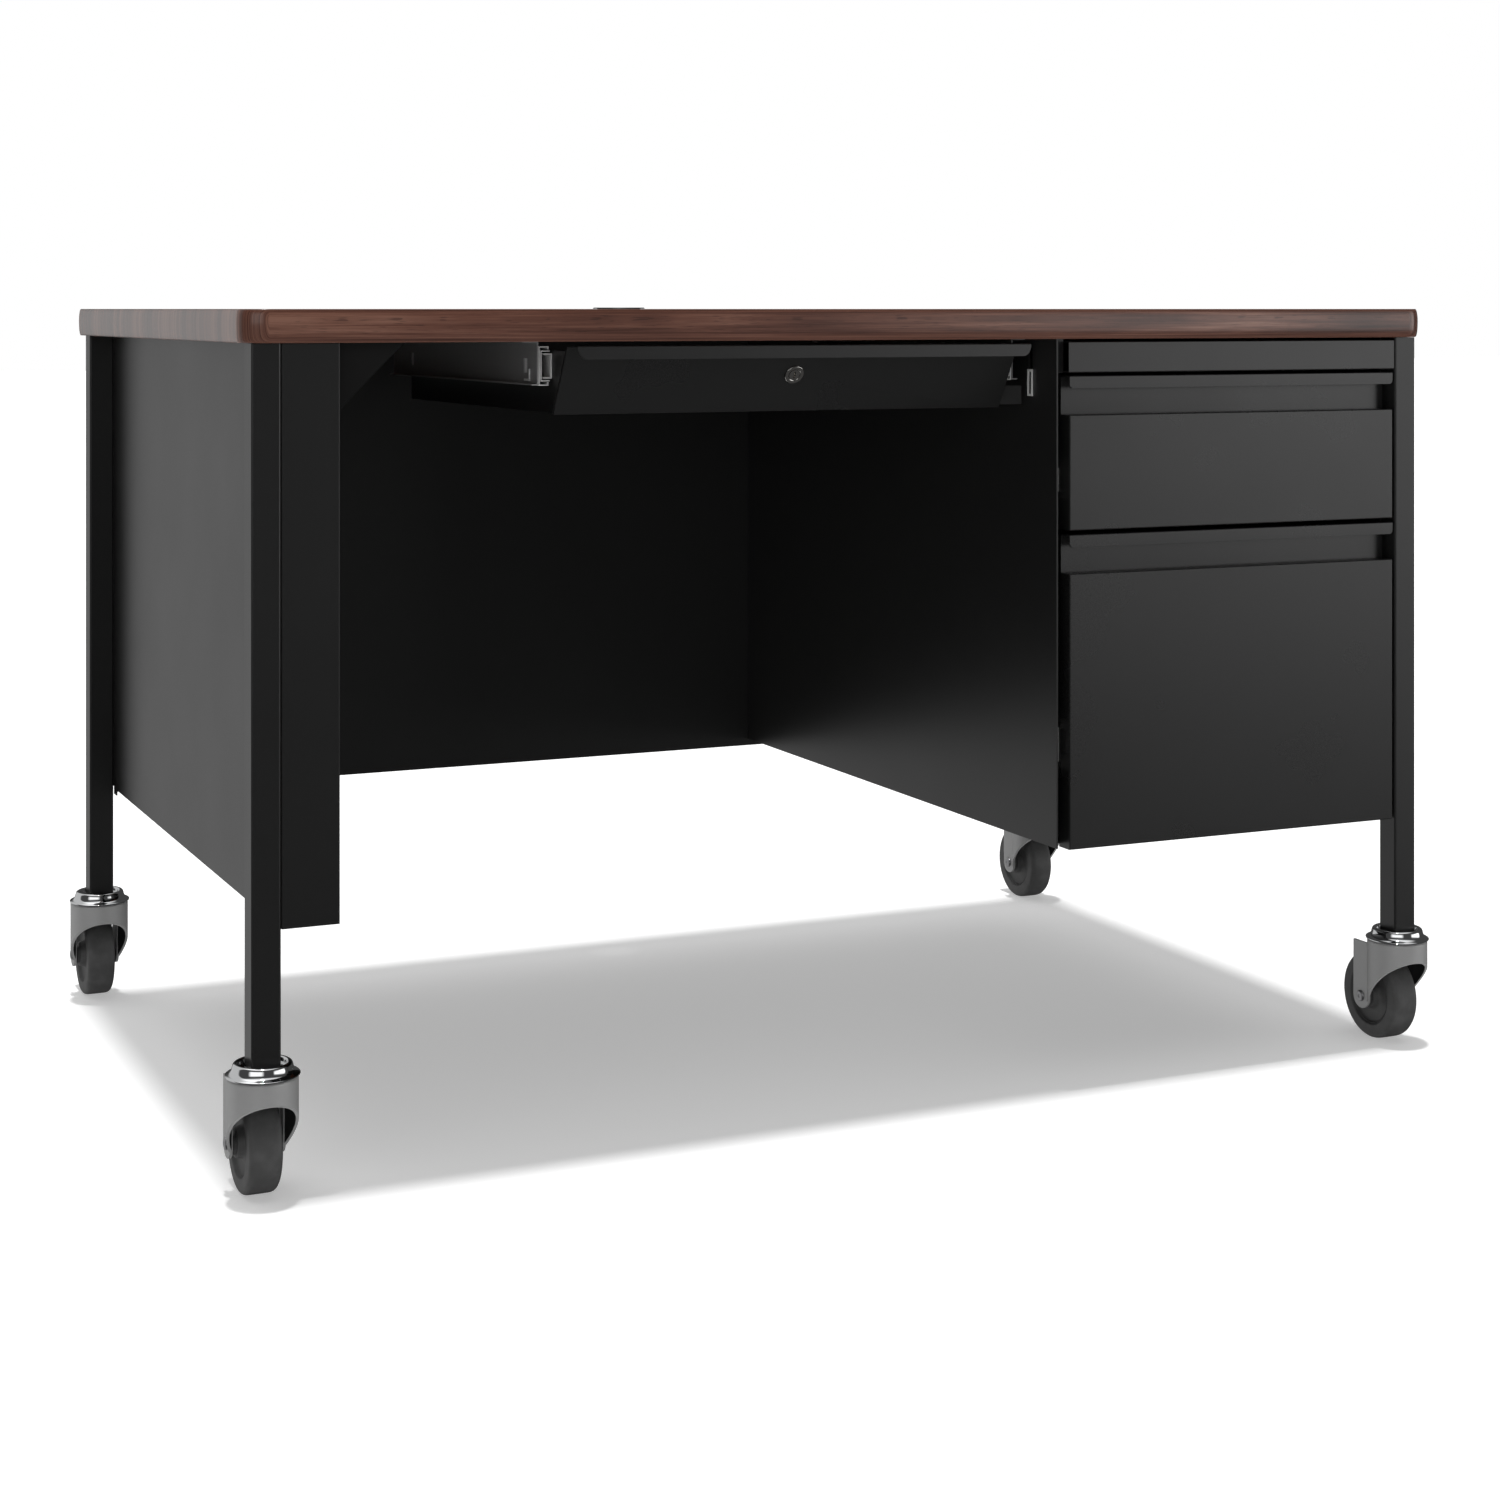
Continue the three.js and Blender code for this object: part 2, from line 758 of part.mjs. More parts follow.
function centerDrawer() {
  const half = centerTrayWidth / 2;
  const left = centerDrawerX - half;
  const right = centerDrawerX + half;
  const clear = (frontGauge + gap) / Math.cos(slopeAngle);
  const wallTop = centerFrontTop - trayWallDrop;
  const wall = [
    [slopeY(trayBottom) + clear, trayBottom],
    [trayRear, trayBottom],
    [trayRear, wallTop],
    [slopeY(wallTop) + clear, wallTop],
  ];
  const floorFront = slopeY(trayBottom) + clear;
  const tray = join(
    alongX(wall, left, left + drawerGauge),
    alongX(wall, right - drawerGauge, right),
    block(left, right, floorFront, trayRear, trayBottom, trayBottom + drawerGauge),
    block(left, right, trayRear - drawerGauge, trayRear, trayBottom, centerFrontTop - trayBackDrop),
  );
  addPart('center_drawer_tray', tray, blackPaint());

  const sheet = foldedSheet([
    [slopeBottomY + centerBottomReturn, centerFrontBottom],
    [slopeBottomY, centerFrontBottom],
    [slopeTopY, centerFrontTop],
    [centerLipFront + frontGauge, centerFrontTop],
    [centerLipFront + frontGauge, centerLipTop - centerLipDrop],
  ], frontGauge);
  const lockHole = new THREE.CylinderGeometry(
    lockPlugRadius + lockBarrelWall + 2 * gap,
    lockPlugRadius + lockBarrelWall + 2 * gap,
    4 * frontGauge,
    fineFacets,
  );
  lockHole.rotateX(Math.PI / 2);
  lockHole.applyMatrix4(lockPlace());
  const frontSides = [centerDrawerX - centerFrontWidth / 2, centerDrawerX + centerFrontWidth / 2];
  const front = cut(alongX(sheet, ...frontSides), toSolid(lockHole));
  addPart('center_drawer_front', front, blackPaint());

  const latchX = right + gap;
  const latch = foldedSheet([
    [latchX + latchWidth, slopeBottomY],
    [latchX, slopeBottomY],
    [latchX, slopeBottomY + latchLength],
  ], latchGauge);
  const latchTop = centerSlideBottom - latchDrop;
  const bracket = alongZ(latch, latchTop - latchHeight, latchTop);
  addPart('drawer_latch_bracket', bracket, blackPlastic());

  const strikePlate = block(
    pedestalLeft - gap - strikeGauge,
    pedestalLeft - gap,
    strikeFront,
    strikeBack,
    strikeBottom,
    strikeTop,
  );
  const strikeWindow = block(
    pedestalLeft - 2 * strikeGauge,
    pedestalLeft,
    strikeFront + strikeBorder,
    strikeBack - strikeBorder / 2,
    strikeBottom + strikeBorder,
    strikeTop - strikeBorder,
  );
  addPart('lock_strike', cut(strikePlate, strikeWindow), zinc());
}

function centerSlides() {
  for (const [hand, side] of [['left', 1], ['right', -1]]) {
    const cabinetX = centerDrawerX - side * centerSlideOffset;
    const name = `center_slide_${hand}`;
    const members = ['outer', 'mid', 'inner'];
    const front = slopeBottomY;
    slide(name, members, cabinetX, side, centerSlideZ, lightSlideHeight, front, trayLength);

    const web = cabinetX - side * gap;
    const hangerBottom = centerSlideBottom + hangerRise;
    const section = [
      [web - side * (hangerGauge + hangerTopFlange), underTop],
      [web, underTop],
      [web, hangerBottom],
      [web - side * (hangerGauge + hangerBottomFlange), hangerBottom],
    ];
    const outline = foldedSheet(side > 0 ? section : section.reverse(), hangerGauge);
    const back = slopeBottomY + trayLength + hangerPastSlide;
    const slots = [slopeBottomY + hangerFrontSlot, back - hangerRearSlot].map((y) => block(
      web - 2 * hangerGauge,
      web + 2 * hangerGauge,
      y - hangerSlotWidth / 2,
      y + hangerSlotWidth / 2,
      centerSlideZ - hangerSlotHeight / 2,
      centerSlideZ + hangerSlotHeight / 2,
    ));
    addPart(`slide_hanger_${hand}`, cut(alongY(outline, slopeBottomY, back), ...slots), zinc());
  }
}

// Turns pieces made along Z, outwards at +Z, to stand square on the sloped drawer front
function lockPlace() {
  const place = new THREE.Matrix4().makeRotationX(Math.PI / 2 + slopeAngle);
  place.setPosition(centerDrawerX, slopeY(lockZ), lockZ);
  return place;
}

function lock() {
  const group = new THREE.Group();
  group.applyMatrix4(lockPlace());
  desk.add(group);
  const bore = lockPlugRadius + gap;
  const barrel = bore + lockBarrelWall;
  const flange = barrel + lockFlangeWidth;
  const bezel = turned([
    [bore, -lockBarrelLength],
    [barrel, -lockBarrelLength],
    [barrel, gap],
    [flange, gap],
    [flange, lockProud - 1],
    [flange - 1, lockProud],
    [bore, lockProud],
  ], fineFacets);
  addPart('lock_bezel', bezel, nickel(), group);

  const face = lockProud - lockPlugRecess;
  const plugRear = -lockBarrelLength - lockPlugPast;
  const plug = toSolid(turned([
    [0, plugRear],
    [lockPlugRadius, plugRear],
    [lockPlugRadius, face],
    [0, face],
  ], coarseFacets));
  const keySlot = block(
    -keySlotWidth / 2,
    keySlotWidth / 2,
    -keySlotHeight / 2,
    keySlotHeight / 2,
    face - keySlotDepth,
    face + 1,
  );
  addPart('lock_plug', cut(plug, keySlot), nickel(), group);

  const camTop = plugRear - gap;
  const cam = block(-camWidth / 2, camLength, -camWidth / 2, camWidth / 2, camTop - camGauge, camTop);
  addPart('lock_cam', cam, zinc(), group);
}

// ---------------------------------------------------------------- casters

function axleLine(radius, halfLength) {
  const geometry = new THREE.CylinderGeometry(radius, radius, 2 * halfLength, coarseFacets);
  geometry.rotateZ(Math.PI / 2);
  geometry.translate(0, casterTrail, wheelRadius);
  return toSolid(geometry);
}

function casterFork() {
  const hoodTop = capBottom - runningGap;
  const discBottom = hoodTop - hoodWall;
  const drum = toSolid(turned([
    [hoodRadius - hoodWall, wheelRadius - hoodDrop],
    [hoodRadius, wheelRadius - hoodDrop],
    [hoodRadius, hoodTop - 1],
    [hoodRadius - 1, hoodTop],
    [stemRadius + runningGap, hoodTop],
    [stemRadius + runningGap, discBottom],
    [hoodRadius - hoodWall, discBottom],
  ], fineFacets));
  const brow = capBottom - hoodBrow;
  const opening = new THREE.Shape();
  opening.moveTo(-hoodRadius - 1, brow + 1);
  opening.lineTo(-hoodRadius - 1, 0);
  opening.lineTo(brow - hoodRadius, 0);
  const behind = block(-2 * hoodRadius, 2 * hoodRadius, hoodRear, 2 * hoodRadius, 0, discBottom);
  const ear = new THREE.Shape();
  const [earFront, earBack] = [casterTrail - earWidth / 2, casterTrail + earWidth / 2];
  ear.moveTo(earFront, discBottom + hoodWall / 2);
  ear.lineTo(earFront, wheelRadius);
  ear.absarc(casterTrail, wheelRadius, earWidth / 2, Math.PI, 2 * Math.PI, false);
  ear.lineTo(earBack, capBottom - earDrop);
  ear.lineTo(hoodRear, capBottom - earDrop);
  ear.lineTo(hoodRear, discBottom + hoodWall / 2);
  return cut(
    join(
      cut(drum, alongX(opening, -2 * hoodRadius, 2 * hoodRadius), behind),
      alongX(ear, -earFace, hoodWall - earFace),
      alongX(ear, earFace - hoodWall, earFace),
    ),
    axleLine(axleRadius + gap, 2 * earFace),
  );
}

function casterCap() {
  const head = capBottom - runningGap - hoodWall - runningGap;
  const flangeTop = capBottom + capFlangeHeight;
  const step = capTop - flangeTop;
  const socket = capTop - capSocketDepth;
  return turned([
    [0, head - kingPinHeadHeight],
    [kingPinHead, head - kingPinHeadHeight],
    [kingPinHead, head],
    [stemRadius, head],
    [stemRadius, capBottom],
    [capFlangeRadius, capBottom],
    [capFlangeRadius, flangeTop],
    [capBeadRadius + 1, flangeTop + step / 4],
    [capBeadRadius, flangeTop + step / 2],
    [capBeadRadius, capTop - 1],
    [capBeadRadius - 1, capTop],
    [capSocketRadius + 1, capTop],
    [capSocketRadius, socket],
    [stemRadius, socket],
    [stemRadius, socket + stemLength],
    [0, socket + stemLength],
  ], coarseFacets);
}

// The flat of a facet meets the floor, so the facets' flats stand at the wheel's radius
function casterWheel() {
  const reach = wheelRadius / Math.cos(Math.PI / fineFacets);
  const face = wheelWidth / 2;
  const hubEnd = earFace - hoodWall - hubPlay;
  const side = [
    [axleRadius + gap, hubEnd],
    [hubRadius, hubEnd],
    [hubRadius + 1.5, face - 3],
    [wheelGroove - 2, face - 4],
    [wheelGroove + 1, face],
    [reach - wheelShoulder, face],
    [reach - wheelShoulder * (1 - Math.SQRT1_2), face - wheelShoulder * (1 - Math.SQRT1_2)],
    [reach, face - wheelShoulder],
  ];
  const otherSide = side.map(([radius, across]) => [radius, -across]);
  const profile = [...otherSide, ...side.reverse()];
  const geometry = turnedAboutX(profile, fineFacets, true);
  geometry.translate(0, casterTrail, wheelRadius);
  return geometry;
}

function casterAxle() {
  const inside = earFace + gap;
  const end = inside + axleHeadHeight;
  const geometry = turnedAboutX([
    [0, -end],
    [axleHead - 1, -end],
    [axleHead, 1 - end],
    [axleHead, -inside],
    [axleRadius, -inside],
    [axleRadius, inside],
    [axleHead, inside],
    [axleHead, end - 1],
    [axleHead - 1, end],
    [0, end],
  ], coarseFacets);
  geometry.translate(0, casterTrail, wheelRadius);
  return geometry;
}

function casters() {
  const places = [
    ['front_left', -casterX, frontCasterY],
    ['front_right', casterX, frontCasterY],
    ['rear_left', -casterX, rearCasterY],
    ['rear_right', casterX, rearCasterY],
  ];
  for (const [corner, x, y] of places) {
    const place = new THREE.Group();
    place.position.set(x, y, 0);
    desk.add(place);
    addPart(`caster_cap_${corner}`, casterCap(), chrome(), place);
    addPart(`caster_fork_${corner}`, casterFork(), greyPaint(), place);
    addPart(`caster_axle_${corner}`, casterAxle(), chrome(), place);
    addPart(`caster_wheel_${corner}`, casterWheel(), rubber(), place);
  }
}

// ---------------------------------------------------------------- the desk

desktop();
grommet();
legs();
leftEnd();
gusset();
modestyPanel();
pedestal();
pedestalDrawers();
centerDrawer();
centerSlides();
lock();
casters();

const part = new THREE.Group();
desk.position.y = -originY;
part.add(desk);

export default part;
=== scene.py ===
import json
import math

import bmesh
import bpy
from mathutils import Matrix, Vector

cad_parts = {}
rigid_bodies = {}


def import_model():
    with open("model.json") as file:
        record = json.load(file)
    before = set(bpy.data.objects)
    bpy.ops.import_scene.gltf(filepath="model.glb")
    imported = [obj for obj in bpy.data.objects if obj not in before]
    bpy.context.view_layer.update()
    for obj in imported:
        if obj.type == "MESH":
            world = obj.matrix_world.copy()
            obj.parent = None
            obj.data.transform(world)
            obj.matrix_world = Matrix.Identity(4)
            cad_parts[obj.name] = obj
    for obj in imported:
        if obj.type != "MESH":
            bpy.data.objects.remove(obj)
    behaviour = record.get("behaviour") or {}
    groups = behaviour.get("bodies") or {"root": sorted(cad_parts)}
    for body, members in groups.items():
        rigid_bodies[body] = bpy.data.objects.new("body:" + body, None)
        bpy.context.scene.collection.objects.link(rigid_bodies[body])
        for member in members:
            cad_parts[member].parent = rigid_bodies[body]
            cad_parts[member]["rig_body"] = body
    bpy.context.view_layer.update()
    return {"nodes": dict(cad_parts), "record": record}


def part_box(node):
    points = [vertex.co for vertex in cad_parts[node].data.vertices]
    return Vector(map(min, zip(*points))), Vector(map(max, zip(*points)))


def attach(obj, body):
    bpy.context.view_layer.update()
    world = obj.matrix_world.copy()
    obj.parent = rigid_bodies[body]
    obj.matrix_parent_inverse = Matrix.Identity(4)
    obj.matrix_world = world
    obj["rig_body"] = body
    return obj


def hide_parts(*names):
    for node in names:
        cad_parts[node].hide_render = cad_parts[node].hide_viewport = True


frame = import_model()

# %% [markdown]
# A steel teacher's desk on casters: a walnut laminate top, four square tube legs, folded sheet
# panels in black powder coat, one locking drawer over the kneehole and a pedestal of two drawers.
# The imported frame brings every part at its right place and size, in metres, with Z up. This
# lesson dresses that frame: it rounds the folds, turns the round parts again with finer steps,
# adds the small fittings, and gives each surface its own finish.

body_of = {name: node["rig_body"] for name, node in frame["nodes"].items()}
corners = ("front_left", "front_right", "rear_left", "rear_right")
mm = 0.001

# %% [markdown]
# The view is that of somebody who crouches a little to the left of the desk, with the eye level
# with its top: the top's upper face is then seen as a line. The lens is a short telephoto, and it
# is shifted down, as with a view camera, so that the legs stay upright in the frame.

# %% Camera
camera_data = bpy.data.cameras.new("camera")
camera_data.lens = 63.8
camera_data.sensor_width = 36
camera_data.shift_y = -0.294
camera_data.clip_end = 100
camera = bpy.data.objects.new("camera", camera_data)
camera.location = (-1.1351, -2.58275, 0.7493)
camera.rotation_euler = (math.radians(90), 0, math.radians(-24.36))
bpy.context.scene.collection.objects.link(camera)
bpy.context.scene.camera = camera
bpy.context.scene.view_settings.view_transform = "Standard"
print("camera at", tuple(camera.location))

# %% [markdown]
# A finish is a tree of nodes. Written as sums in Python it reads like the sum it is, so a small
# class wraps one output socket and lets +, -, * and so on add the Math nodes.


# %% Sums of nodes
class Wire:
    """One output of a node, which can stand in a sum."""

    def __init__(self, tree, socket):
        self.tree, self.socket = tree, socket

    def math(self, operation, *values):
        return self.tree.node("ShaderNodeMath", {"operation": operation}, dict(enumerate(values)))

    def __add__(self, other):
        return self.math("ADD", self, other)

    __radd__ = __add__

    def __sub__(self, other):
        return self.math("SUBTRACT", self, other)

    def __rsub__(self, other):
        return self.math("SUBTRACT", other, self)

    def __mul__(self, other):
        return self.math("MULTIPLY", self, other)

    __rmul__ = __mul__

    def __truediv__(self, other):
        return self.math("DIVIDE", self, other)

    def __pow__(self, power):
        return self.math("POWER", self, power)

    def ramp(self, low, high):
        """0 where this is at low, 1 where it is at high, with soft ends."""
        settings = {"interpolation_type": "SMOOTHSTEP"}
        sockets = {"Value": self, "From Min": low, "From Max": high}
        return self.tree.node("ShaderNodeMapRange", settings, sockets)


print("sums of nodes are ready")

# %% [markdown]
# A second class holds the tree and adds any other node: first its settings, then what its sockets
# take. The kinds that come back in every finish, such as noise and bump, get a short name.


# %% A tree of nodes
class Tree:
    """A tree of nodes that a finish or the studio's light is made of."""

    def __init__(self, owner):
        owner.use_nodes = True
        self.nodes, self.links = owner.node_tree.nodes, owner.node_tree.links
        self.nodes.clear()

    def node(self, kind, settings=(), sockets=(), out=0):
        node = self.nodes.new(kind)
        for name, value in dict(settings).items():
            if name == "stops":
                self.set_stops(node.color_ramp, value)
            else:
                setattr(node, name, value)
        for name, value in dict(sockets).items():
            if isinstance(value, Wire):
                self.links.new(value.socket, node.inputs[name])
            else:
                node.inputs[name].default_value = value
        return Wire(self, node.outputs[out]) if node.outputs else node

    def set_stops(self, color_ramp, stops):
        while len(color_ramp.elements) < len(stops):
            color_ramp.elements.new(0.5)
        for element, (place, color) in zip(color_ramp.elements, stops):
            element.position, element.color = place, color

    def place(self):
        """Where a point is on the piece, in metres."""
        return self.node("ShaderNodeTexCoord", out=3)

    def split(self, vector):
        return [self.node("ShaderNodeSeparateXYZ", (), {0: vector}, out=i) for i in range(3)]

    def join(self, x, y, z):
        return self.node("ShaderNodeCombineXYZ", (), {0: x, 1: y, 2: z})

    def noise(self, place, scale, detail=2.0, roughness=0.5, distortion=0.0):
        sockets = {"Vector": place, "Scale": scale, "Detail": detail}
        sockets |= {"Roughness": roughness, "Distortion": distortion}
        return self.node("ShaderNodeTexNoise", (), sockets)

    def mix(self, share, first, second):
        """A colour between two colours."""
        sockets = {0: share, 6: first, 7: second}
        return self.node("ShaderNodeMix", {"data_type": "RGBA"}, sockets, out=2)

    def bump(self, height, distance, strength=1.0):
        sockets = {"Strength": strength, "Distance": distance, "Height": height}
        return self.node("ShaderNodeBump", (), sockets)

    def surface(self, **inputs):
        """The shader that the light meets. An input's name is written with _ for a space."""
        sockets = {name.replace("_", " "): value for name, value in inputs.items()}
        shader = self.node("ShaderNodeBsdfPrincipled", (), sockets)
        self.node("ShaderNodeOutputMaterial", (), {"Surface": shader})


def new_finish(name):
    material = bpy.data.materials.new(name)
    return material, Tree(material)


def grey(value):
    return (value, value, value, 1.0)


print("trees of nodes are ready")

# %% [markdown]
# The studio's light comes from all round, so it is painted on the world: a wide soft glow
# overhead, one soft wall of light in front on the right, and two dimmer ones on the left, behind
# and near. The wall on the right gives the drawer fronts their sheen, brighter towards the top,
# the one behind on the left gives the left end its grazing sheen, and the near one gives round
# corners and chrome a highlight. A wall ends below and above where height, the sine of the angle
# over the horizon, passes its ramps. The backdrop looks white, while the light that it sends is
# dimmer, which a Light Path node tells apart.

# %% Soft walls of light
scene = bpy.context.scene
world = bpy.data.worlds.new("studio")
scene.world = world
sky = Tree(world)
east, north, height = sky.split(sky.node("ShaderNodeTexCoord", out=0))
sideways = (1 - height * height) ** 0.5


def soft_wall(heading, full, none):
    """1 within an angle of a heading, counted clockwise from the desk's rear, 0 past another."""
    heading = math.radians(heading)
    toward = (east * math.sin(heading) + north * math.cos(heading)) / sideways
    return toward.ramp(math.cos(math.radians(none)), math.cos(math.radians(full)))


right_wall = soft_wall(heading=128, full=17, none=27)
right_wall = right_wall * height.ramp(-0.145, -0.06) * (1 - height.ramp(0.05, 0.42))
left_wall = soft_wall(heading=-38, full=25, none=36)
near_left = soft_wall(heading=-142, full=16, none=32)
near_left = near_left * height.ramp(-0.03, 0.04) * (1 - height.ramp(0.30, 0.50))
dim_sky, overhead_glow = 0.06, 0.90
glow = dim_sky + overhead_glow * height.ramp(0.74, 0.95)
glow = glow + 2.45 * right_wall + 0.50 * left_wall + 1.2 * near_left
seen = sky.node("ShaderNodeLightPath", out=0)
strength = glow + seen * (1.0 - glow)
light = sky.node("ShaderNodeBackground", (), {"Color": grey(1.0), "Strength": strength})
sky.node("ShaderNodeOutputWorld", (), {"Surface": light})
print("studio light: nodes", len(world.node_tree.nodes))

# %% [markdown]
# A sun straight above draws the desk's shadow on a pale floor. The sun is a few degrees wide, so
# the shadow's edge is sharp at a wheel and soft far from what casts it. The floor gives off a
# little light of its own, which keeps the shadow pale, and it is hidden from reflections.

# %% Sun and floor
sun = bpy.data.lights.new("overhead", "SUN")
sun.energy = 2.5
sun.angle = math.radians(4)
overhead = bpy.data.objects.new("overhead", sun)
overhead.location = (0, 0, 3)
scene.collection.objects.link(overhead)
bpy.ops.mesh.primitive_plane_add(size=60, location=(0, 0, 0))
floor = bpy.context.object
floor.name = "floor"
floor.visible_glossy = False
floor_paint, tree = new_finish("floor_paint")
tree.surface(Base_Color=grey(0.80), Roughness=0.9, Specular_IOR_Level=0.0,
             Emission_Color=grey(1.0), Emission_Strength=0.36)
floor.data.materials.append(floor_paint)
print("sun:", sun.energy, "floor:", floor.name)

# %% [markdown]
# The steel is powder coated in satin black. The powder melts into a skin that is level from afar
# and has a fine orange peel close by: a low noise a millimetre or two across, felt only in the
# reflections. A wider, weaker noise varies the sheen, as oven-cured coats do.


# %% Powder coat
def powder_coat(name, color, roughness, sheen=0.5):
    material, tree = new_finish(name)
    place = tree.place()
    peel = tree.noise(place, 620, detail=1.5)
    cloud = tree.noise(place, 9, detail=3)
    speck = tree.noise(place, 2600, detail=0).ramp(0.62, 0.74)
    shade = tree.mix(speck * 0.5 + cloud * 0.3, grey(color), grey(color * 1.5))
    tree.surface(
        Base_Color=shade,
        Roughness=roughness - 0.03 + 0.06 * cloud + 0.05 * speck,
        Specular_IOR_Level=sheen,
        Normal=tree.bump(peel, 0.05 * mm, 0.5),
    )
    return material


finishes = {
    "frame_paint": powder_coat("frame_powder_coat", 0.0095, 0.32),
    "panel_paint": powder_coat("panel_powder_coat", 0.0090, 0.33),
    "front_paint": powder_coat("front_powder_coat", 0.0095, 0.28),
    "drawer_paint": powder_coat("drawer_powder_coat", 0.0080, 0.40),
}
# A darker, less glossy copy of the coat paints the shade that the gusset sits in under the top.
gusset_shaded_coat = powder_coat("gusset_painted_shade_coat", 0.0060, 0.50, sheen=0.15)
print("powder coats:", len(finishes) + 1)

# %% [markdown]
# The top is high-pressure laminate in dark walnut, and its edge wears a band in the same print.
# Grain is a long thin noise: along the board it hardly changes, and across it changes every
# millimetre. It runs along X on the top, and along the front and rear edges, where it changes
# with height. On the two ends it changes with depth only, as wide soft bands, so the height is
# faded out there by how much the surface faces front or back. Broad figure comes from a slow bent
# noise, and short dark pores from a stretched fine one. A clear coat gives the melamine gloss.


# %% Walnut laminate
def walnut_laminate():
    material, tree = new_finish("walnut_laminate")
    x, y, z = tree.split(tree.place())
    facing = tree.split(tree.node("ShaderNodeNewGeometry", out=1))[1]
    depth = z * facing * facing

    def grain(along, across, shift, detail=3.0, distortion=0.0):
        place = tree.join(x * along, y * across + shift, depth * across)
        return tree.noise(place, 1.0, detail, 0.6, distortion)

    figure = grain(2.2, 24, 0.0, distortion=0.7)
    streak = grain(5, 120, 3.0)
    fibre = grain(8, 420, 0.0, detail=4.0)
    pore = grain(60, 1400, 7.0, detail=1.0).ramp(0.60, 0.72)
    tone = figure * 0.50 + streak * 0.33 + fibre * 0.30
    stops = [
        (0.42, (0.026, 0.0090, 0.0055, 1)),
        (0.52, (0.066, 0.025, 0.0165, 1)),
        (0.60, (0.115, 0.047, 0.031, 1)),
        (0.70, (0.190, 0.092, 0.064, 1)),
    ]
    wood = tree.node("ShaderNodeValToRGB", {"stops": stops}, {0: tone})
    wood = tree.mix(pore * 0.5, wood, (0.024, 0.010, 0.008, 1))
    tree.surface(
        Base_Color=wood,
        Roughness=0.32 + 0.08 * fibre + 0.12 * pore,
        IOR=1.28,
        Coat_Weight=1.0,
        Coat_IOR=1.36,
        Coat_Roughness=0.14,
        Normal=tree.bump(fibre - pore, 0.03 * mm, 0.3),
    )
    return material


finishes["walnut_laminate"] = walnut_laminate()
print("walnut laminate: nodes", len(finishes["walnut_laminate"].node_tree.nodes))

# %% [markdown]
# The metals. Zinc plate is slightly cloudy, with long faint scratches from rolling: bright on the
# slides, and painted darker on the hangers, as painted shade of the kneehole. The caster caps are
# polished chrome, the lock is satin nickel, and the fork is pressed steel with a dull silver
# plate;
# inside the hood it is painted near-black, as painted shade.


# %% Metals
def plated(name, color, roughness, cloud_scale, cloud_share, scratch=0.0, metal=1.0):
    material, tree = new_finish(name)
    x, y, z = tree.split(tree.place())
    cloud = tree.noise(tree.place(), cloud_scale, detail=3, roughness=0.6)
    line = tree.noise(tree.join(x * 900, y * 14, z * 900), 1.0, detail=2)
    dark = tuple(v * (1 - cloud_share) for v in color[:3]) + (1,)
    tree.surface(
        Base_Color=tree.mix(cloud, dark, color),
        Metallic=metal,
        Roughness=roughness + roughness * 0.5 * cloud + scratch * (line - 0.5),
        Normal=tree.bump(cloud * 0.3 + line, 0.01 * mm, 0.25),
    )
    return material


finishes |= {
    "slide_zinc": plated("slide_zinc", (0.76, 0.76, 0.75, 1), 0.30, 60, 0.18, 0.10, metal=0.45),
    # The hangers' zinc is a darker copy of the slides' zinc, painted as the shade of the kneehole
    # they hang in.
    "hanger_zinc": plated("hanger_zinc", (0.28, 0.28, 0.28, 1), 0.32, 45, 0.25, 0.10, metal=0.45),
    "lock_nickel": plated("lock_nickel", (0.72, 0.70, 0.67, 1), 0.18, 300, 0.10),
    "caster_chrome": plated("caster_chrome", (0.80, 0.81, 0.82, 1), 0.04, 200, 0.04),
    "caster_hood_finish": plated("caster_hood_finish", (0.36, 0.36, 0.36, 1), 0.40, 160, 0.10,
                                 metal=0.35),
    "caster_axle_steel": plated("caster_axle_steel", (0.42, 0.42, 0.43, 1), 0.32, 200, 0.20),
}
# A near-black copy of the plate, painted on the inside of the hoods as painted shade.
hood_shade_paint = plated("hood_inside_painted_shade", (0.035, 0.035, 0.036, 1), 0.45, 160, 0.20, metal=0.5)
print("finishes so far:", len(finishes))

# %% [markdown]
# The wheels are grey-black thermoplastic rubber: matt, a little dusty, with a very fine grain.
# The grommet and the latch are moulded plastic with the usual spark-eroded texture.


# %% Rubber and plastic
def moulded(name, color, roughness, grain_scale, grain_depth, dust):
    material, tree = new_finish(name)
    place = tree.place()
    grain = tree.noise(place, grain_scale, detail=2)
    cloud = tree.noise(place, 70, detail=4, roughness=0.6)
    tree.surface(
        Base_Color=tree.mix(cloud.ramp(0.35, 0.75), grey(color), grey(color * (1 + dust))),
        Roughness=roughness + 0.12 * cloud,
        Normal=tree.bump(grain, grain_depth, 0.6),
    )
    return material


finishes |= {
    "wheel_rubber": moulded("wheel_rubber", 0.050, 0.50, 1400, 0.04 * mm, 0.4),
    "grommet_plastic": moulded("grommet_plastic", 0.012, 0.38, 1800, 0.03 * mm, 0.2),
    "latch_plastic": moulded("latch_plastic", 0.020, 0.42, 1500, 0.03 * mm, 0.2),
}
slot_of = {part["node"]: part["material_slot"] for part in frame["record"]["subparts"]}
for name, node in frame["nodes"].items():
    node.data.materials.clear()
    node.data.materials.append(finishes[slot_of[name]])
print("finishes:", len(finishes))

# %% [markdown]
# Every piece below is shaped with the same few moves. Operators act on whatever is selected, so
# each helper first clears the selection, and edges and faces are then picked by a test on their
# place or direction.


# %% Selecting
def clear():
    if bpy.context.object and bpy.context.object.mode == "EDIT":
        bpy.ops.object.mode_set(mode="OBJECT")
    bpy.ops.object.select_all(action="DESELECT")


def take(piece):
    clear()
    piece.select_set(True)
    bpy.context.view_layer.objects.active = piece


def open_up(piece):
    take(piece)
    bpy.ops.object.mode_set(mode="EDIT")
    bpy.ops.mesh.select_all(action="SELECT")


def close_up():
    bpy.ops.object.mode_set(mode="OBJECT")


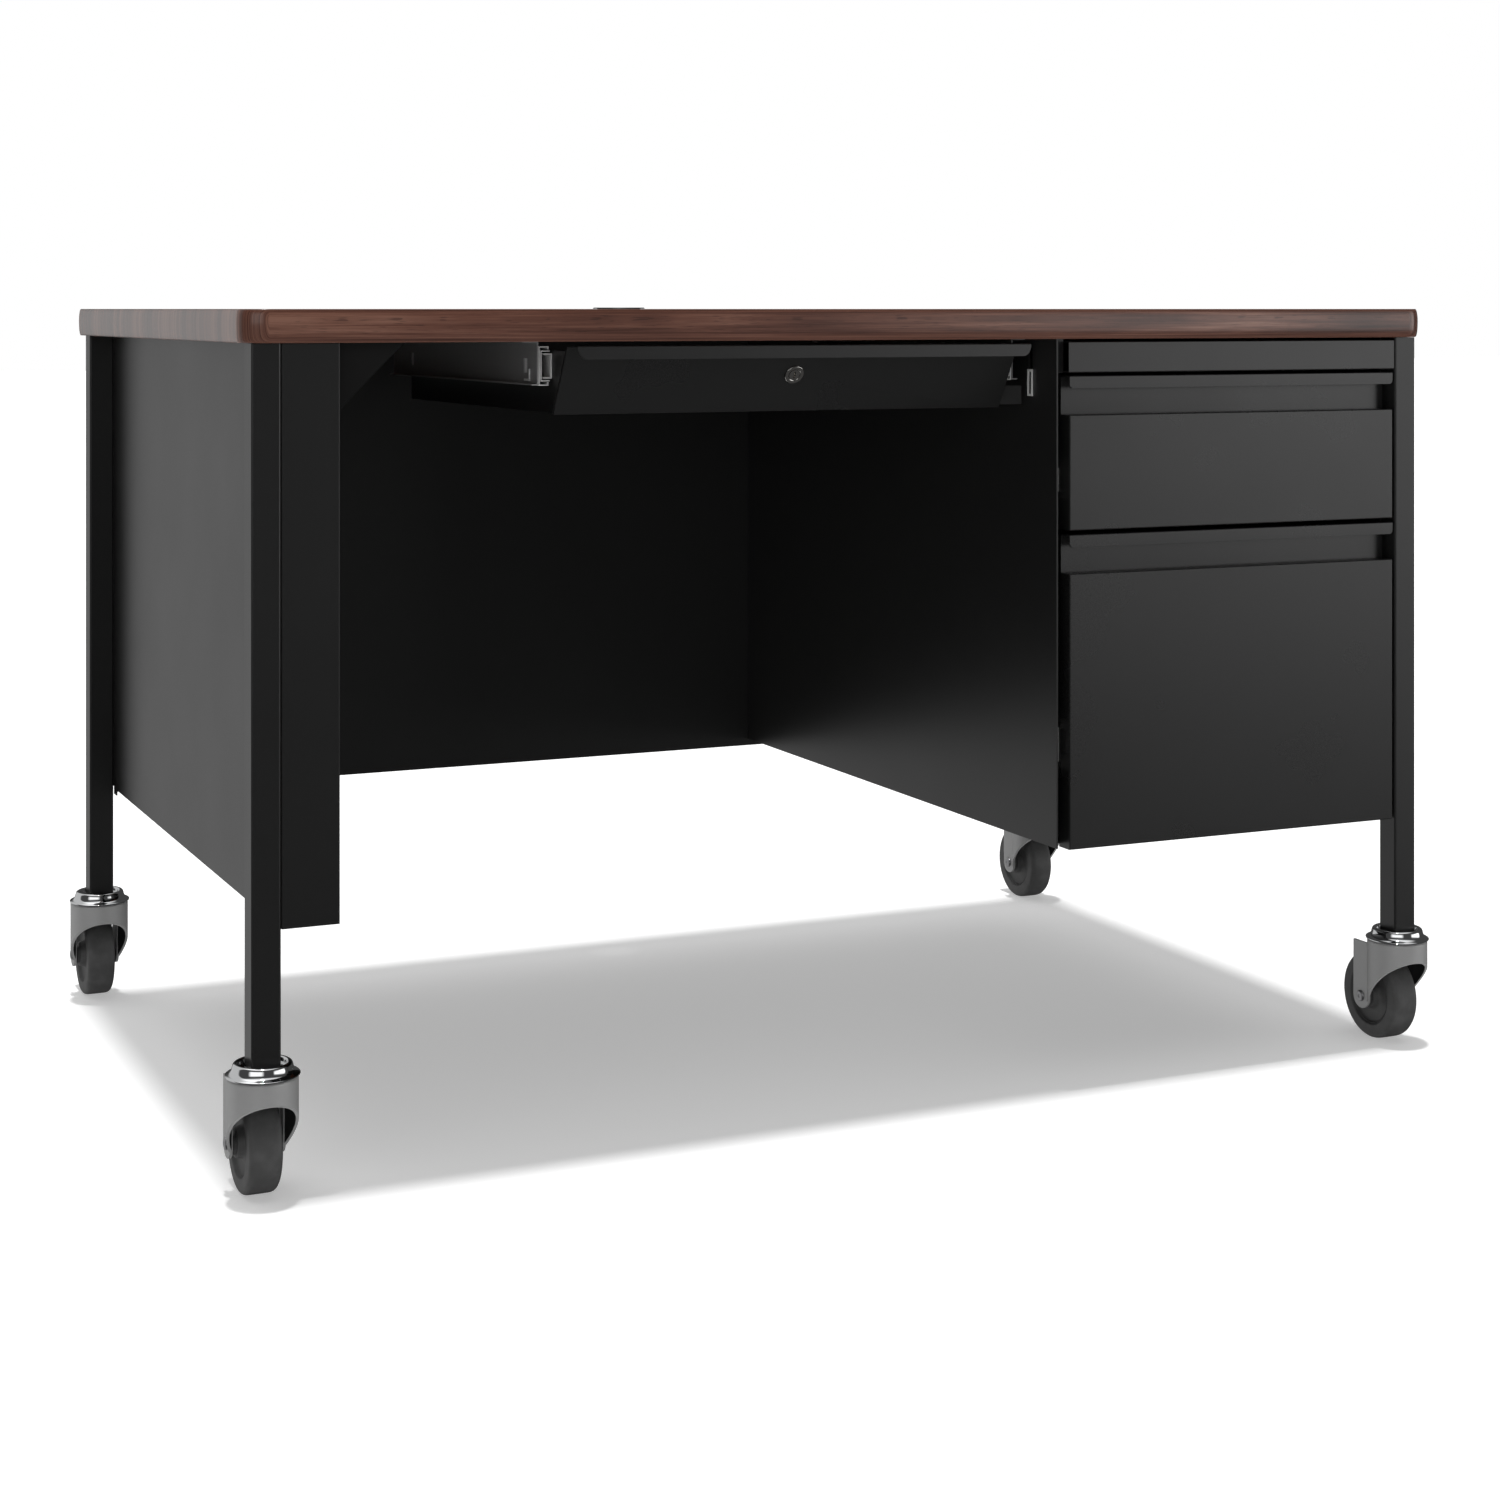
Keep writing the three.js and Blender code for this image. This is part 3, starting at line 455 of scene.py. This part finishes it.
def pick(kind, test):
    """Selects the vertices, edges or faces that pass the test, in edit mode."""
    bpy.ops.mesh.select_mode(type=kind)
    bpy.ops.mesh.select_all(action="DESELECT")
    mesh = bmesh.from_edit_mesh(bpy.context.object.data)
    elements = {"VERT": mesh.verts, "EDGE": mesh.edges, "FACE": mesh.faces}[kind]
    chosen = [element for element in elements if test(element)]
    for element in chosen:
        element.select_set(True)
    mesh.select_flush_mode()
    bmesh.update_edit_mesh(bpy.context.object.data)
    return len(chosen)


print("helpers for selecting are ready")

# %% [markdown]
# Most pieces are finished in one way: a narrow bevel softens the edges, the shading is made
# smooth, and the piece gets its name, its finish and the moving body that it hangs on.


# %% Finishing a piece
def apply_modifier(piece, kind, **settings):
    take(piece)
    modifier = piece.modifiers.new(kind, kind)
    for name, value in settings.items():
        setattr(modifier, name, value)
    bpy.ops.object.modifier_apply(modifier=modifier.name)


def round_edges(piece, width, segments=2, angle=28):
    apply_modifier(piece, "BEVEL", width=width, segments=segments, limit_method="ANGLE",
                   angle_limit=math.radians(angle))


def smooth(piece, angle=32):
    """Rounds the shading, and weighs it by area so that broad flat faces still look flat."""
    take(piece)
    bpy.ops.object.shade_smooth_by_angle(angle=math.radians(angle))
    apply_modifier(piece, "WEIGHTED_NORMAL", mode="FACE_AREA", weight=80, keep_sharp=True)


def fit(piece, name, body, slot, *nodes, finish=None):
    """Names a finished piece, dresses it and hangs it on its body."""
    piece.name = piece.data.name = name
    piece.data.materials.clear()
    piece.data.materials.append(finish or finishes[slot])
    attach(piece, body)
    if nodes:
        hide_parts(*nodes)
    print(f"{name}: {len(piece.data.polygons)} faces")


print("helpers for finishing are ready")

# %% [markdown]
# Folded steel has no knife edges: each bend has a radius, and each cut edge is softened by the
# powder. The frame's panels have sharp edges, so each one is taken as a copy, its loose triangles
# are merged, the flat ones are dissolved into whole faces, and a narrow bevel rounds what is left.
# It is this small round that catches the light as a thin line along every edge. A face with more
# than four corners, such as the end of a channel, is split first, so that it fills properly.


# %% Sheet metal with rounded edges
fold_radius = 1.1 * mm


def sheet_copy(node):
    piece = bpy.data.objects.new(node, frame["nodes"][node].data.copy())
    scene.collection.objects.link(piece)
    open_up(piece)
    bpy.ops.mesh.remove_doubles(threshold=0.002 * mm)
    bpy.ops.mesh.dissolve_limited(angle_limit=math.radians(1))
    pick("FACE", lambda face: len(face.verts) > 4)
    bpy.ops.mesh.quads_convert_to_tris(ngon_method="BEAUTY")
    bpy.ops.mesh.tris_convert_to_quads()
    close_up()
    return piece


def is_fold(edge, shortest=12 * mm, narrowest=4 * mm):
    """An outer bend between two broad faces, as opposed to a cut edge of the sheet."""
    if len(edge.link_faces) != 2 or edge.calc_length() < shortest or not edge.is_convex:
        return False
    broad = all(face.calc_area() > narrowest * edge.calc_length() for face in edge.link_faces)
    return broad and edge.calc_face_angle() > math.radians(25)


def round_folds(piece):
    open_up(piece)
    if pick("EDGE", is_fold):
        bpy.ops.mesh.bevel(offset=fold_radius, segments=4)
    close_up()


def finish_sheet(piece, node, width, segments=2, finish=None):
    round_edges(piece, width, segments)
    smooth(piece)
    fit(piece, node + "_folded", body_of[node], slot_of[node], node, finish=finish)


print("helpers for sheet metal are ready")

# %% [markdown]
# The panels and the drawers' boxes are folded and then softened, the thin ones with a smaller
# bevel. The gusset hangs under the top in a darker, less glossy copy of the coat, which paints the
# shade it sits in. The legs are drawn tube, whose corners only need a single narrow bevel.

# %% Panels and legs
edge_widths = {
    "left_end_panel": 0.5, "left_end_inner_panel": 0.5,
    "modesty_panel": 0.5, "pedestal_left_side": 0.5, "right_end_panel": 0.5,
    "pedestal_bottom_pan": 0.5, "filler_panel": 0.5, "center_drawer_tray": 0.35,
    "box_drawer_body": 0.35, "file_drawer_body": 0.35, "lock_cam": 0.3,
    "drawer_latch_bracket": 0.4, "corner_gusset": 0.4,
}
# The gusset's coat is its painted shade.
shaded_coats = {"corner_gusset": gusset_shaded_coat}
for node, width in edge_widths.items():
    panel = sheet_copy(node)
    round_folds(panel)
    finish_sheet(panel, node, width * mm, finish=shaded_coats.get(node))
for corner in corners:
    finish_sheet(sheet_copy(f"leg_{corner}"), f"leg_{corner}", 0.35 * mm, segments=1)

# %% [markdown]
# The drawer fronts are each one sheet, folded forward at the top into a lip that is the pull.
# The lip's free corners are rounded so that nobody is cut, more on the centre drawer than on the
# pedestal's.

# %% Drawer fronts
lip_corner_radii = {"box_drawer_front": 3.5, "file_drawer_front": 3.5, "center_drawer_front": 8.5}
lip_depth, lip_drop_least, lip_drop_most = 2.8 * mm, 9 * mm, 14 * mm


def middle(edge):
    return (edge.verts[0].co + edge.verts[1].co) / 2


def runs_along(edge, axis):
    way = edge.verts[1].co - edge.verts[0].co
    return way.length > 0 and abs(way[axis]) > 0.999 * way.length


def round_lip_corners(piece, node, radius):
    low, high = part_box(node)

    def is_lip_corner(edge):
        spot = middle(edge)
        at_side = min(spot.x - low.x, high.x - spot.x) < 0.05 * mm
        is_low = lip_drop_least < high.z - spot.z < lip_drop_most
        return runs_along(edge, 1) and at_side and is_low and spot.y < low.y + lip_depth

    open_up(piece)
    count = pick("EDGE", is_lip_corner)
    bpy.ops.mesh.bevel(offset=radius, segments=6)
    close_up()
    print(node, "lip corners rounded:", count)


for node, radius in lip_corner_radii.items():
    front = sheet_copy(node)
    round_lip_corners(front, node, radius * mm)
    round_folds(front)
    finish_sheet(front, node, 0.4 * mm)

# %% [markdown]
# The slides are cold-rolled zinc-plated channels, one inside another. Their edges are rolled
# round, so they get the same narrow bevel.

# %% Slides
slide_nodes = [name for name in frame["nodes"] if "_slide_" in name]
for node in slide_nodes:
    finish_sheet(sheet_copy(node), node, 0.3 * mm)
print("slide members:", len(slide_nodes))

# %% [markdown]
# Small fittings start from a block or a rod, and one shape is cut out of another, or welded on to
# it, with a Boolean modifier. The tool is thrown away afterwards.


# %% Blocks and rods, cutting and welding
def block(low, high):
    """A box between two corners, to cut with or to start a piece from."""
    clear()
    low, high = Vector(low), Vector(high)
    bpy.ops.mesh.primitive_cube_add(size=1, location=(low + high) / 2, scale=high - low)
    bpy.ops.object.transform_apply(location=True, rotation=True, scale=True)
    return bpy.context.object


def rod(radius, low, high, steps):
    """A round bar between two points, to cut with or to start a piece from."""
    clear()
    low, high = Vector(low), Vector(high)
    bpy.ops.mesh.primitive_cylinder_add(vertices=steps, radius=radius, depth=(high - low).length,
                                        location=(low + high) / 2,
                                        rotation=(high - low).to_track_quat("Z", "Y").to_euler())
    bpy.ops.object.transform_apply(location=True, rotation=True, scale=True)
    return bpy.context.object


def combine(piece, other, operation):
    apply_modifier(piece, "BOOLEAN", operation=operation, solver="EXACT", object=other)
    bpy.data.objects.remove(other)


def cut_away(piece, cutter):
    combine(piece, cutter, "DIFFERENCE")


def weld_on(piece, other):
    combine(piece, other, "UNION")


print("helpers for cutting and welding are ready")

# %% [markdown]
# The lock's strike is a small plate with two thin upright sides round a slot for the lock's cam.
# The left hanger has a hook pressed out of it near the front, which holds it to the frame: a
# short upright leg and a foot that turns back under it.

# %% Strike and hanger hook
strike_low, strike_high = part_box("lock_strike")
narrower = Vector((0, 1.8 * mm, 0))
strike_low, strike_high = strike_low + narrower, strike_high - narrower
strike = block(strike_low, strike_high)
side_wall = Vector((0, 1.9 * mm, 2.2 * mm))
past_the_plate = Vector((0.01, 0, 0))
cut_away(strike, block(strike_low + side_wall - past_the_plate,
                       strike_high - side_wall + past_the_plate))
round_edges(strike, 0.3 * mm)
smooth(strike)
fit(strike, "lock_strike_plate", body_of["lock_strike"], "slide_zinc", "lock_strike")

hanger_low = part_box("slide_hanger_left")[0]
web_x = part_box("center_slide_left_outer")[0].x - 1.5 * mm
hook_left, hook_right = web_x - 1.3 * mm, web_x - 0.1 * mm
slot_y, foot_z = hanger_low.y + 31 * mm, hanger_low.z + 3.5 * mm
hook = block((hook_left, slot_y - 13.5 * mm, foot_z),
             (hook_right, slot_y - 11.5 * mm, foot_z + 11 * mm))
foot = block((hook_left, slot_y - 12 * mm, foot_z), (hook_right, slot_y + 1 * mm, foot_z + 2 * mm))
weld_on(hook, foot)
round_edges(hook, 0.25 * mm)
smooth(hook)
fit(hook, "hanger_hook", "desk_frame", "slide_zinc")

# %% [markdown]
# The top is one board. It starts as a block, its four upright corners are rounded, and then it is
# cut into levels and each level is let out a little, so that the edge crowns like a moulded band.
# A rod then bores the hole for the cable grommet.

# %% Desktop
low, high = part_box("desktop")
crown, crown_depth, corner_radius = 1.7 * mm, 12 * mm, 25 * mm
inset = Vector((crown, crown, 0))
top_board = block(low + inset, high - inset)
open_up(top_board)
pick("EDGE", lambda edge: runs_along(edge, 2))
bpy.ops.mesh.bevel(offset=corner_radius - crown, segments=16)
centre = (low + high) / 2
half = (high - low) / 2
level_depths = (0.5, 1.5, 3, 5, 8, 12)
reached = 0.0
for depth in level_depths:
    share = math.sqrt(1 - (1 - depth * mm / crown_depth) ** 2)
    for level in (low.z + depth * mm, high.z - depth * mm):
        bpy.ops.mesh.select_all(action="SELECT")
        bpy.ops.mesh.bisect(plane_co=(0, 0, level), plane_no=(0, 0, 1))
        pick("VERT", lambda vert: abs(vert.co.z - level) < 0.01 * mm)
        grow = [1 + crown * (share - reached) / (half[axis] - crown) for axis in (0, 1)]
        bpy.ops.transform.resize(value=(*grow, 1), center_override=centre)
    reached = share
bpy.ops.mesh.select_all(action="SELECT")
bpy.ops.mesh.normals_make_consistent(inside=False)
close_up()
sleeve_low, sleeve_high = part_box("grommet_sleeve")
cable_x, cable_y = ((sleeve_low + sleeve_high) / 2).xy
hole_radius = 25.3 * mm
cut_away(top_board, rod(hole_radius, (cable_x, cable_y, low.z - 0.01),
                        (cable_x, cable_y, high.z + 0.01), steps=96))
smooth(top_board, 40)
fit(top_board, "desktop_board", "desk_frame", "walnut_laminate", "desktop")

# %% [markdown]
# Round parts are turned, as on a lathe: half of the section is drawn out, point by point in
# millimetres from the axis and along it, and spun once round. Spin leaves a double row of points
# where the ends meet, so doubles are merged, and then the faces are made to point outwards.


# %% A lathe
def turn(profile, centre, axis, across, steps=96):
    """A round piece, whose section is pairs of millimetres: from the axis, and along it."""
    clear()
    axis, across, centre = Vector(axis), Vector(across), Vector(centre)
    points = [centre + across * (radius * mm) + axis * (along * mm) for radius, along in profile]
    bpy.ops.mesh.primitive_plane_add(size=mm, location=points[0])
    bpy.ops.object.mode_set(mode="EDIT")
    bpy.ops.mesh.select_mode(type="VERT")
    bpy.ops.mesh.merge(type="CENTER")
    for start, end in zip(points, points[1:]):
        bpy.ops.mesh.extrude_region_move(TRANSFORM_OT_translate={"value": end - start})
    bpy.ops.mesh.select_all(action="SELECT")
    bpy.ops.mesh.spin(steps=steps, angle=2 * math.pi, center=centre, axis=axis)
    bpy.ops.mesh.select_all(action="SELECT")
    bpy.ops.mesh.remove_doubles(threshold=0.001 * mm)
    bpy.ops.mesh.normals_make_consistent(inside=False)
    bpy.ops.object.mode_set(mode="OBJECT")
    bpy.ops.object.transform_apply(location=True, rotation=True, scale=True)
    return bpy.context.object


print("the lathe is ready")

# %% [markdown]
# The cable grommet is two turned mouldings: a sleeve with a flange, and a cap with a slot for
# the cords, which turns in the sleeve.

# %% Cable grommet
up, right = (0, 0, 1), (1, 0, 0)
top_face = high.z
hole_middle = (cable_x, cable_y, top_face)
sleeve_profile = [(20, -24), (25, -24), (25, 0.3), (30, 0.3), (29.6, 1.2), (28.8, 1.7),
                  (22.9, 1.7), (22.5, 1.3), (22.5, -1.2), (20, -1.2), (20, -24)]
sleeve = turn(sleeve_profile, hole_middle, up, right)
smooth(sleeve, 40)
fit(sleeve, "grommet_sleeve_moulding", "desk_frame", "grommet_plastic", "grommet_sleeve")
cap_profile = [(0, -0.9), (22.2, -0.9), (22.2, 1.2), (21.8, 1.6), (21.2, 1.7), (0, 1.7)]
cap = turn(cap_profile, hole_middle, up, right)
slot_half_width, slot_end = 7 * mm, 10.2 * mm
mouth = block((cable_x - slot_half_width, cable_y + slot_end, top_face - 0.01),
              (cable_x + slot_half_width, cable_y + 0.03, top_face + 0.01))
open_up(mouth)
pick("EDGE", lambda edge: runs_along(edge, 2) and middle(edge).y < cable_y + 0.02)
bpy.ops.mesh.bevel(offset=5 * mm, segments=8)
close_up()
cut_away(cap, mouth)
smooth(cap, 30)
fit(cap, "grommet_cap_moulding", body_of["grommet_cap"], "grommet_plastic", "grommet_cap")

# %% [markdown]
# Each caster has a chrome cap that takes the leg, a pressed hood that swivels under it with two
# ears for the axle, and a solid wheel. The cap is turned: a flared rim below, a rounded
# step above. One of each is made at the front left corner, and every corner gets a copy of it.

# %% Caster caps
swivel = {}
for corner in corners:
    cap_low, cap_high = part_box(f"caster_cap_{corner}")
    swivel[corner] = Vector(((cap_low.x + cap_high.x) / 2, (cap_low.y + cap_high.y) / 2, 0))
first = swivel["front_left"]


def copy_of(piece, shift):
    twin = bpy.data.objects.new(piece.name, piece.data.copy())
    scene.collection.objects.link(twin)
    twin.data.transform(Matrix.Translation(shift))
    return twin


def copy_to_corners(piece, kind, ending):
    """Gives every corner a copy of a caster's part, and throws the first one away."""
    twins = {}
    for corner in corners:
        node = f"caster_{kind}_{corner}"
        twins[corner] = copy_of(piece, swivel[corner] - first)
        fit(twins[corner], f"{node}_{ending}", body_of[node], slot_of[node], node)
    bpy.data.objects.remove(piece)
    return twins


caster_cap_profile = [
    (0, 97.7), (9, 97.7), (9, 100.7), (5.5, 100.7), (5.5, 107.0), (30.9, 107.0), (31.35, 107.1),
    (31.5, 107.45), (31.5, 107.9), (31.1, 108.3), (29.8, 108.9), (28.2, 109.6), (26.9, 110.7),
    (26.1, 112.2), (25.6, 114.0), (25.2, 115.8), (24.6, 117.0), (23.6, 117.75), (22.4, 118.0),
    (21.3, 117.6), (20.6, 116.8), (20.4, 115.6), (19.6, 114.0), (5.5, 114.0), (5.5, 150.0),
    (0, 150.0),
]
caster_cap = turn(caster_cap_profile, first, up, right)
smooth(caster_cap, 35)
copy_to_corners(caster_cap, "cap", "turned")

# %% [markdown]
# The hood is a drum with a rounded shoulder. A wide bar across it cuts the opening, which
# sweeps from a short brow in front down to the axle's level behind, and a block takes away the
# rear, where the wheel trails behind the swivel.

# %% Hoods of the forks
trail, axle_height = 28 * mm, 44 * mm
drum_profile = [
    (27.5, 40.0), (28.0, 39.6), (29.5, 39.6), (30.0, 40.0), (30.0, 103.4), (29.85, 104.6),
    (29.4, 105.6), (28.6, 106.3), (27.4, 106.6), (5.9, 106.6), (5.9, 104.1), (26.0, 104.1),
    (27.0, 103.7), (27.5, 102.7), (27.5, 40.0),
]
drum = turn(drum_profile, first, up, right)
sweep_radius, sweep_middle = 200 * mm, first + Vector((0, -147.7 * mm, -73.7 * mm))
reach = Vector((0.1, 0, 0))
cut_away(drum, rod(sweep_radius, sweep_middle - reach, sweep_middle + reach, steps=360))
rear_start, under_roof = 17 * mm, 104 * mm
cut_away(drum, block(first + Vector((-0.1, rear_start, -0.01)),
                     first + Vector((0.1, 0.1, under_roof))))
axle = first + Vector((0, trail, axle_height))
print("hood: faces", len(drum.data.polygons), "axle:", [round(v, 4) for v in axle])

# %% [markdown]
# The ears are plates with a round foot, welded inside the drum's sides, and the axle's rivet
# passes through them. Each is a block whose underside is drawn down and rounded.

# %% Ears of the forks
ear_sides, ear_half_width, ear_height = (21.5 * mm, 24 * mm), 12.5 * mm, 56 * mm
ears = []
for side in (-1, 1):
    inner, outer = sorted(side * x for x in ear_sides)
    ear = block(axle + Vector((inner, -ear_half_width, 0)),
                axle + Vector((outer, ear_half_width, ear_height)))
    open_up(ear)
    pick("FACE", lambda face: face.normal.z < -0.9)
    bpy.ops.mesh.extrude_region_move(TRANSFORM_OT_translate={"value": (0, 0, -ear_half_width)})
    pick("EDGE", lambda edge: runs_along(edge, 0) and middle(edge).z < axle.z - 12 * mm)
    bpy.ops.mesh.bevel(offset=ear_half_width - 0.05 * mm, segments=12)
    bpy.ops.mesh.select_all(action="SELECT")
    bpy.ops.mesh.normals_make_consistent(inside=False)
    close_up()
    ears.append(ear)
for ear in ears:
    weld_on(drum, ear)
rivet_hole_radius = 4.3 * mm
cut_away(drum, rod(rivet_hole_radius, axle - reach, axle + reach, steps=32))
round_edges(drum, 0.35 * mm, angle=35)
smooth(drum, 35)
forks = copy_to_corners(drum, "fork", "pressed")

# %% [markdown]
# Inside the hood the faces are painted near-black, as painted shade. A face lies inside if it is
# close to the drum's inner radius and faces the swivel, and such faces get this painted shade as
# the piece's second finish.


# %% Painted shade inside the hoods
def is_inside_hood(face, pivot, nearest=22 * mm, farthest=28 * mm):
    outward = face.calc_center_median() - pivot
    outward.z = 0
    turned_inwards = face.normal.dot(outward.normalized()) < -0.6
    return turned_inwards and nearest < outward.length < farthest


# The faces inside each hood get the painted shade.
for corner, fork in forks.items():
    fork.data.materials.append(hood_shade_paint)
    open_up(fork)
    count = pick("FACE", lambda face: is_inside_hood(face, swivel[corner]))
    fork.active_material_index = 1
    bpy.ops.object.material_slot_assign()
    close_up()
    print(corner, "faces inside the hood:", count)

# %% [markdown]
# The wheel is one moulding with a hard core: a tread with rounded shoulders, a broad flat side, a
# narrow groove where the tyre meets the core, a dished web and a hub. The section of one half
# is written down and mirrored for the other.

# %% Caster wheels
half_section = [
    (4.3, 20.5), (9.0, 20.5), (9.6, 20.2), (9.8, 19.4), (9.8, 17.5), (12.4, 17.2), (13.0, 16.4),
    (13.6, 12.4), (15.0, 10.8), (17.5, 10.2), (22.0, 10.2), (25.6, 10.6), (27.2, 11.6),
    (28.0, 13.0), (28.4, 12.6), (28.9, 12.4), (29.5, 12.9), (29.9, 13.9), (30.6, 14.4),
    (31.5, 14.5), (39.0, 14.5), (40.9, 14.1), (42.3, 13.2), (43.3, 11.8), (43.8, 10.0),
    (43.95, 8.0), (44.0, 4.0),
]
other_half = [(radius, -across) for radius, across in reversed(half_section)]
wheel_profile = half_section + [(44.0, 0.0)] + other_half + [half_section[0]]
wheel = turn(wheel_profile, axle, right, up, steps=120)
smooth(wheel, 38)
copy_to_corners(wheel, "wheel", "moulded")

# %% [markdown]
# The axle is a steel rivet: a shank with a low domed head on each side, and in each head the
# dimple that the riveting tool leaves.

# %% Caster axles
axle_profile = [
    (0, -25.6), (1.6, -25.6), (2.2, -26.0), (3.4, -26.3), (4.6, -25.9), (5.3, -25.2), (5.5, -24.3),
    (4, -24.3), (4, 24.3), (5.5, 24.3), (5.3, 25.2), (4.6, 25.9), (3.4, 26.3), (2.2, 26.0),
    (1.6, 25.6), (0, 25.6),
]
rivet = turn(axle_profile, axle, right, up, steps=48)
smooth(rivet, 40)
copy_to_corners(rivet, "axle", "rivet")

# %% [markdown]
# The lock is a turned bezel in the sloped drawer front and a plug that turns in it. Its own
# directions are those of the slope: outwards, and up along the face. The keyway is a crooked slot,
# cut as three short steps, so that only its own key goes in.

# %% Lock
front_lean = 31.06
slope = math.radians(90 + front_lean)
outwards = Vector((0, -math.sin(slope), math.cos(slope)))
upslope = Vector((0, math.cos(slope), math.sin(slope)))
plug_low, plug_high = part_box("lock_plug")
lock_face = (plug_low + plug_high) / 2 + outwards * 10.2 * mm
bezel_profile = [(5.8, -20), (8.0, -20), (8.0, 0.3), (9.5, 0.3), (9.5, 1.1), (9.35, 1.6),
                 (8.9, 1.95), (8.3, 2.0), (6.8, 2.0), (6.2, 1.9), (5.8, 1.5), (5.8, -20)]
bezel = turn(bezel_profile, lock_face, outwards, right)
smooth(bezel, 40)
fit(bezel, "lock_bezel_turned", body_of["lock_bezel"], "lock_nickel", "lock_bezel")
plug_profile = [(0, -22), (5.5, -22), (5.5, 1.1), (5.35, 1.45), (5.0, 1.6), (0, 1.6)]
plug = turn(plug_profile, lock_face, outwards, right, steps=64)
face_frame = Matrix((Vector(right), upslope, outwards)).transposed().to_4x4()
face_frame.translation = lock_face
keyway_steps = ((-0.35, 0.6, 3.5, 1.7), (0.35, -1.2, 1.0, 1.3), (-0.2, -3.4, -0.8, 1.5))
for x, low_y, high_y, width in keyway_steps:
    step = block(((x - width / 2) * mm, low_y * mm, -2.4 * mm),
                 ((x + width / 2) * mm, high_y * mm, 3 * mm))
    step.data.transform(face_frame)
    cut_away(plug, step)
smooth(plug, 30)
fit(plug, "lock_plug_turned", body_of["lock_plug"], "lock_nickel", "lock_plug")

# %% [markdown]
# The end panels are welded to the legs. A narrow strip inside each rear leg closes the seam, as
# the weld does, so that no light shows through it.

# %% Seams between panels and legs
panel_low, panel_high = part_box("left_end_panel")


def seam(name, x_low, x_high, y_low, y_high):
    strip = block((x_low, y_low, panel_low.z + 8 * mm), (x_high, y_high, panel_high.z - 1 * mm))
    round_edges(strip, 0.6 * mm)
    smooth(strip)
    fit(strip, name, "desk_frame", "frame_paint")


for side, corner in ((1, "left"), (-1, "right")):
    rear_low, rear_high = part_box(f"leg_rear_{corner}")
    inner_face = rear_high.x if side > 0 else rear_low.x
    x_low, x_high = sorted((inner_face + side * 0.1 * mm, inner_face + side * 6 * mm))
    seam(f"rear_{corner}_seam", x_low, x_high, rear_low.y + 0.2 * mm, rear_low.y + 5 * mm)
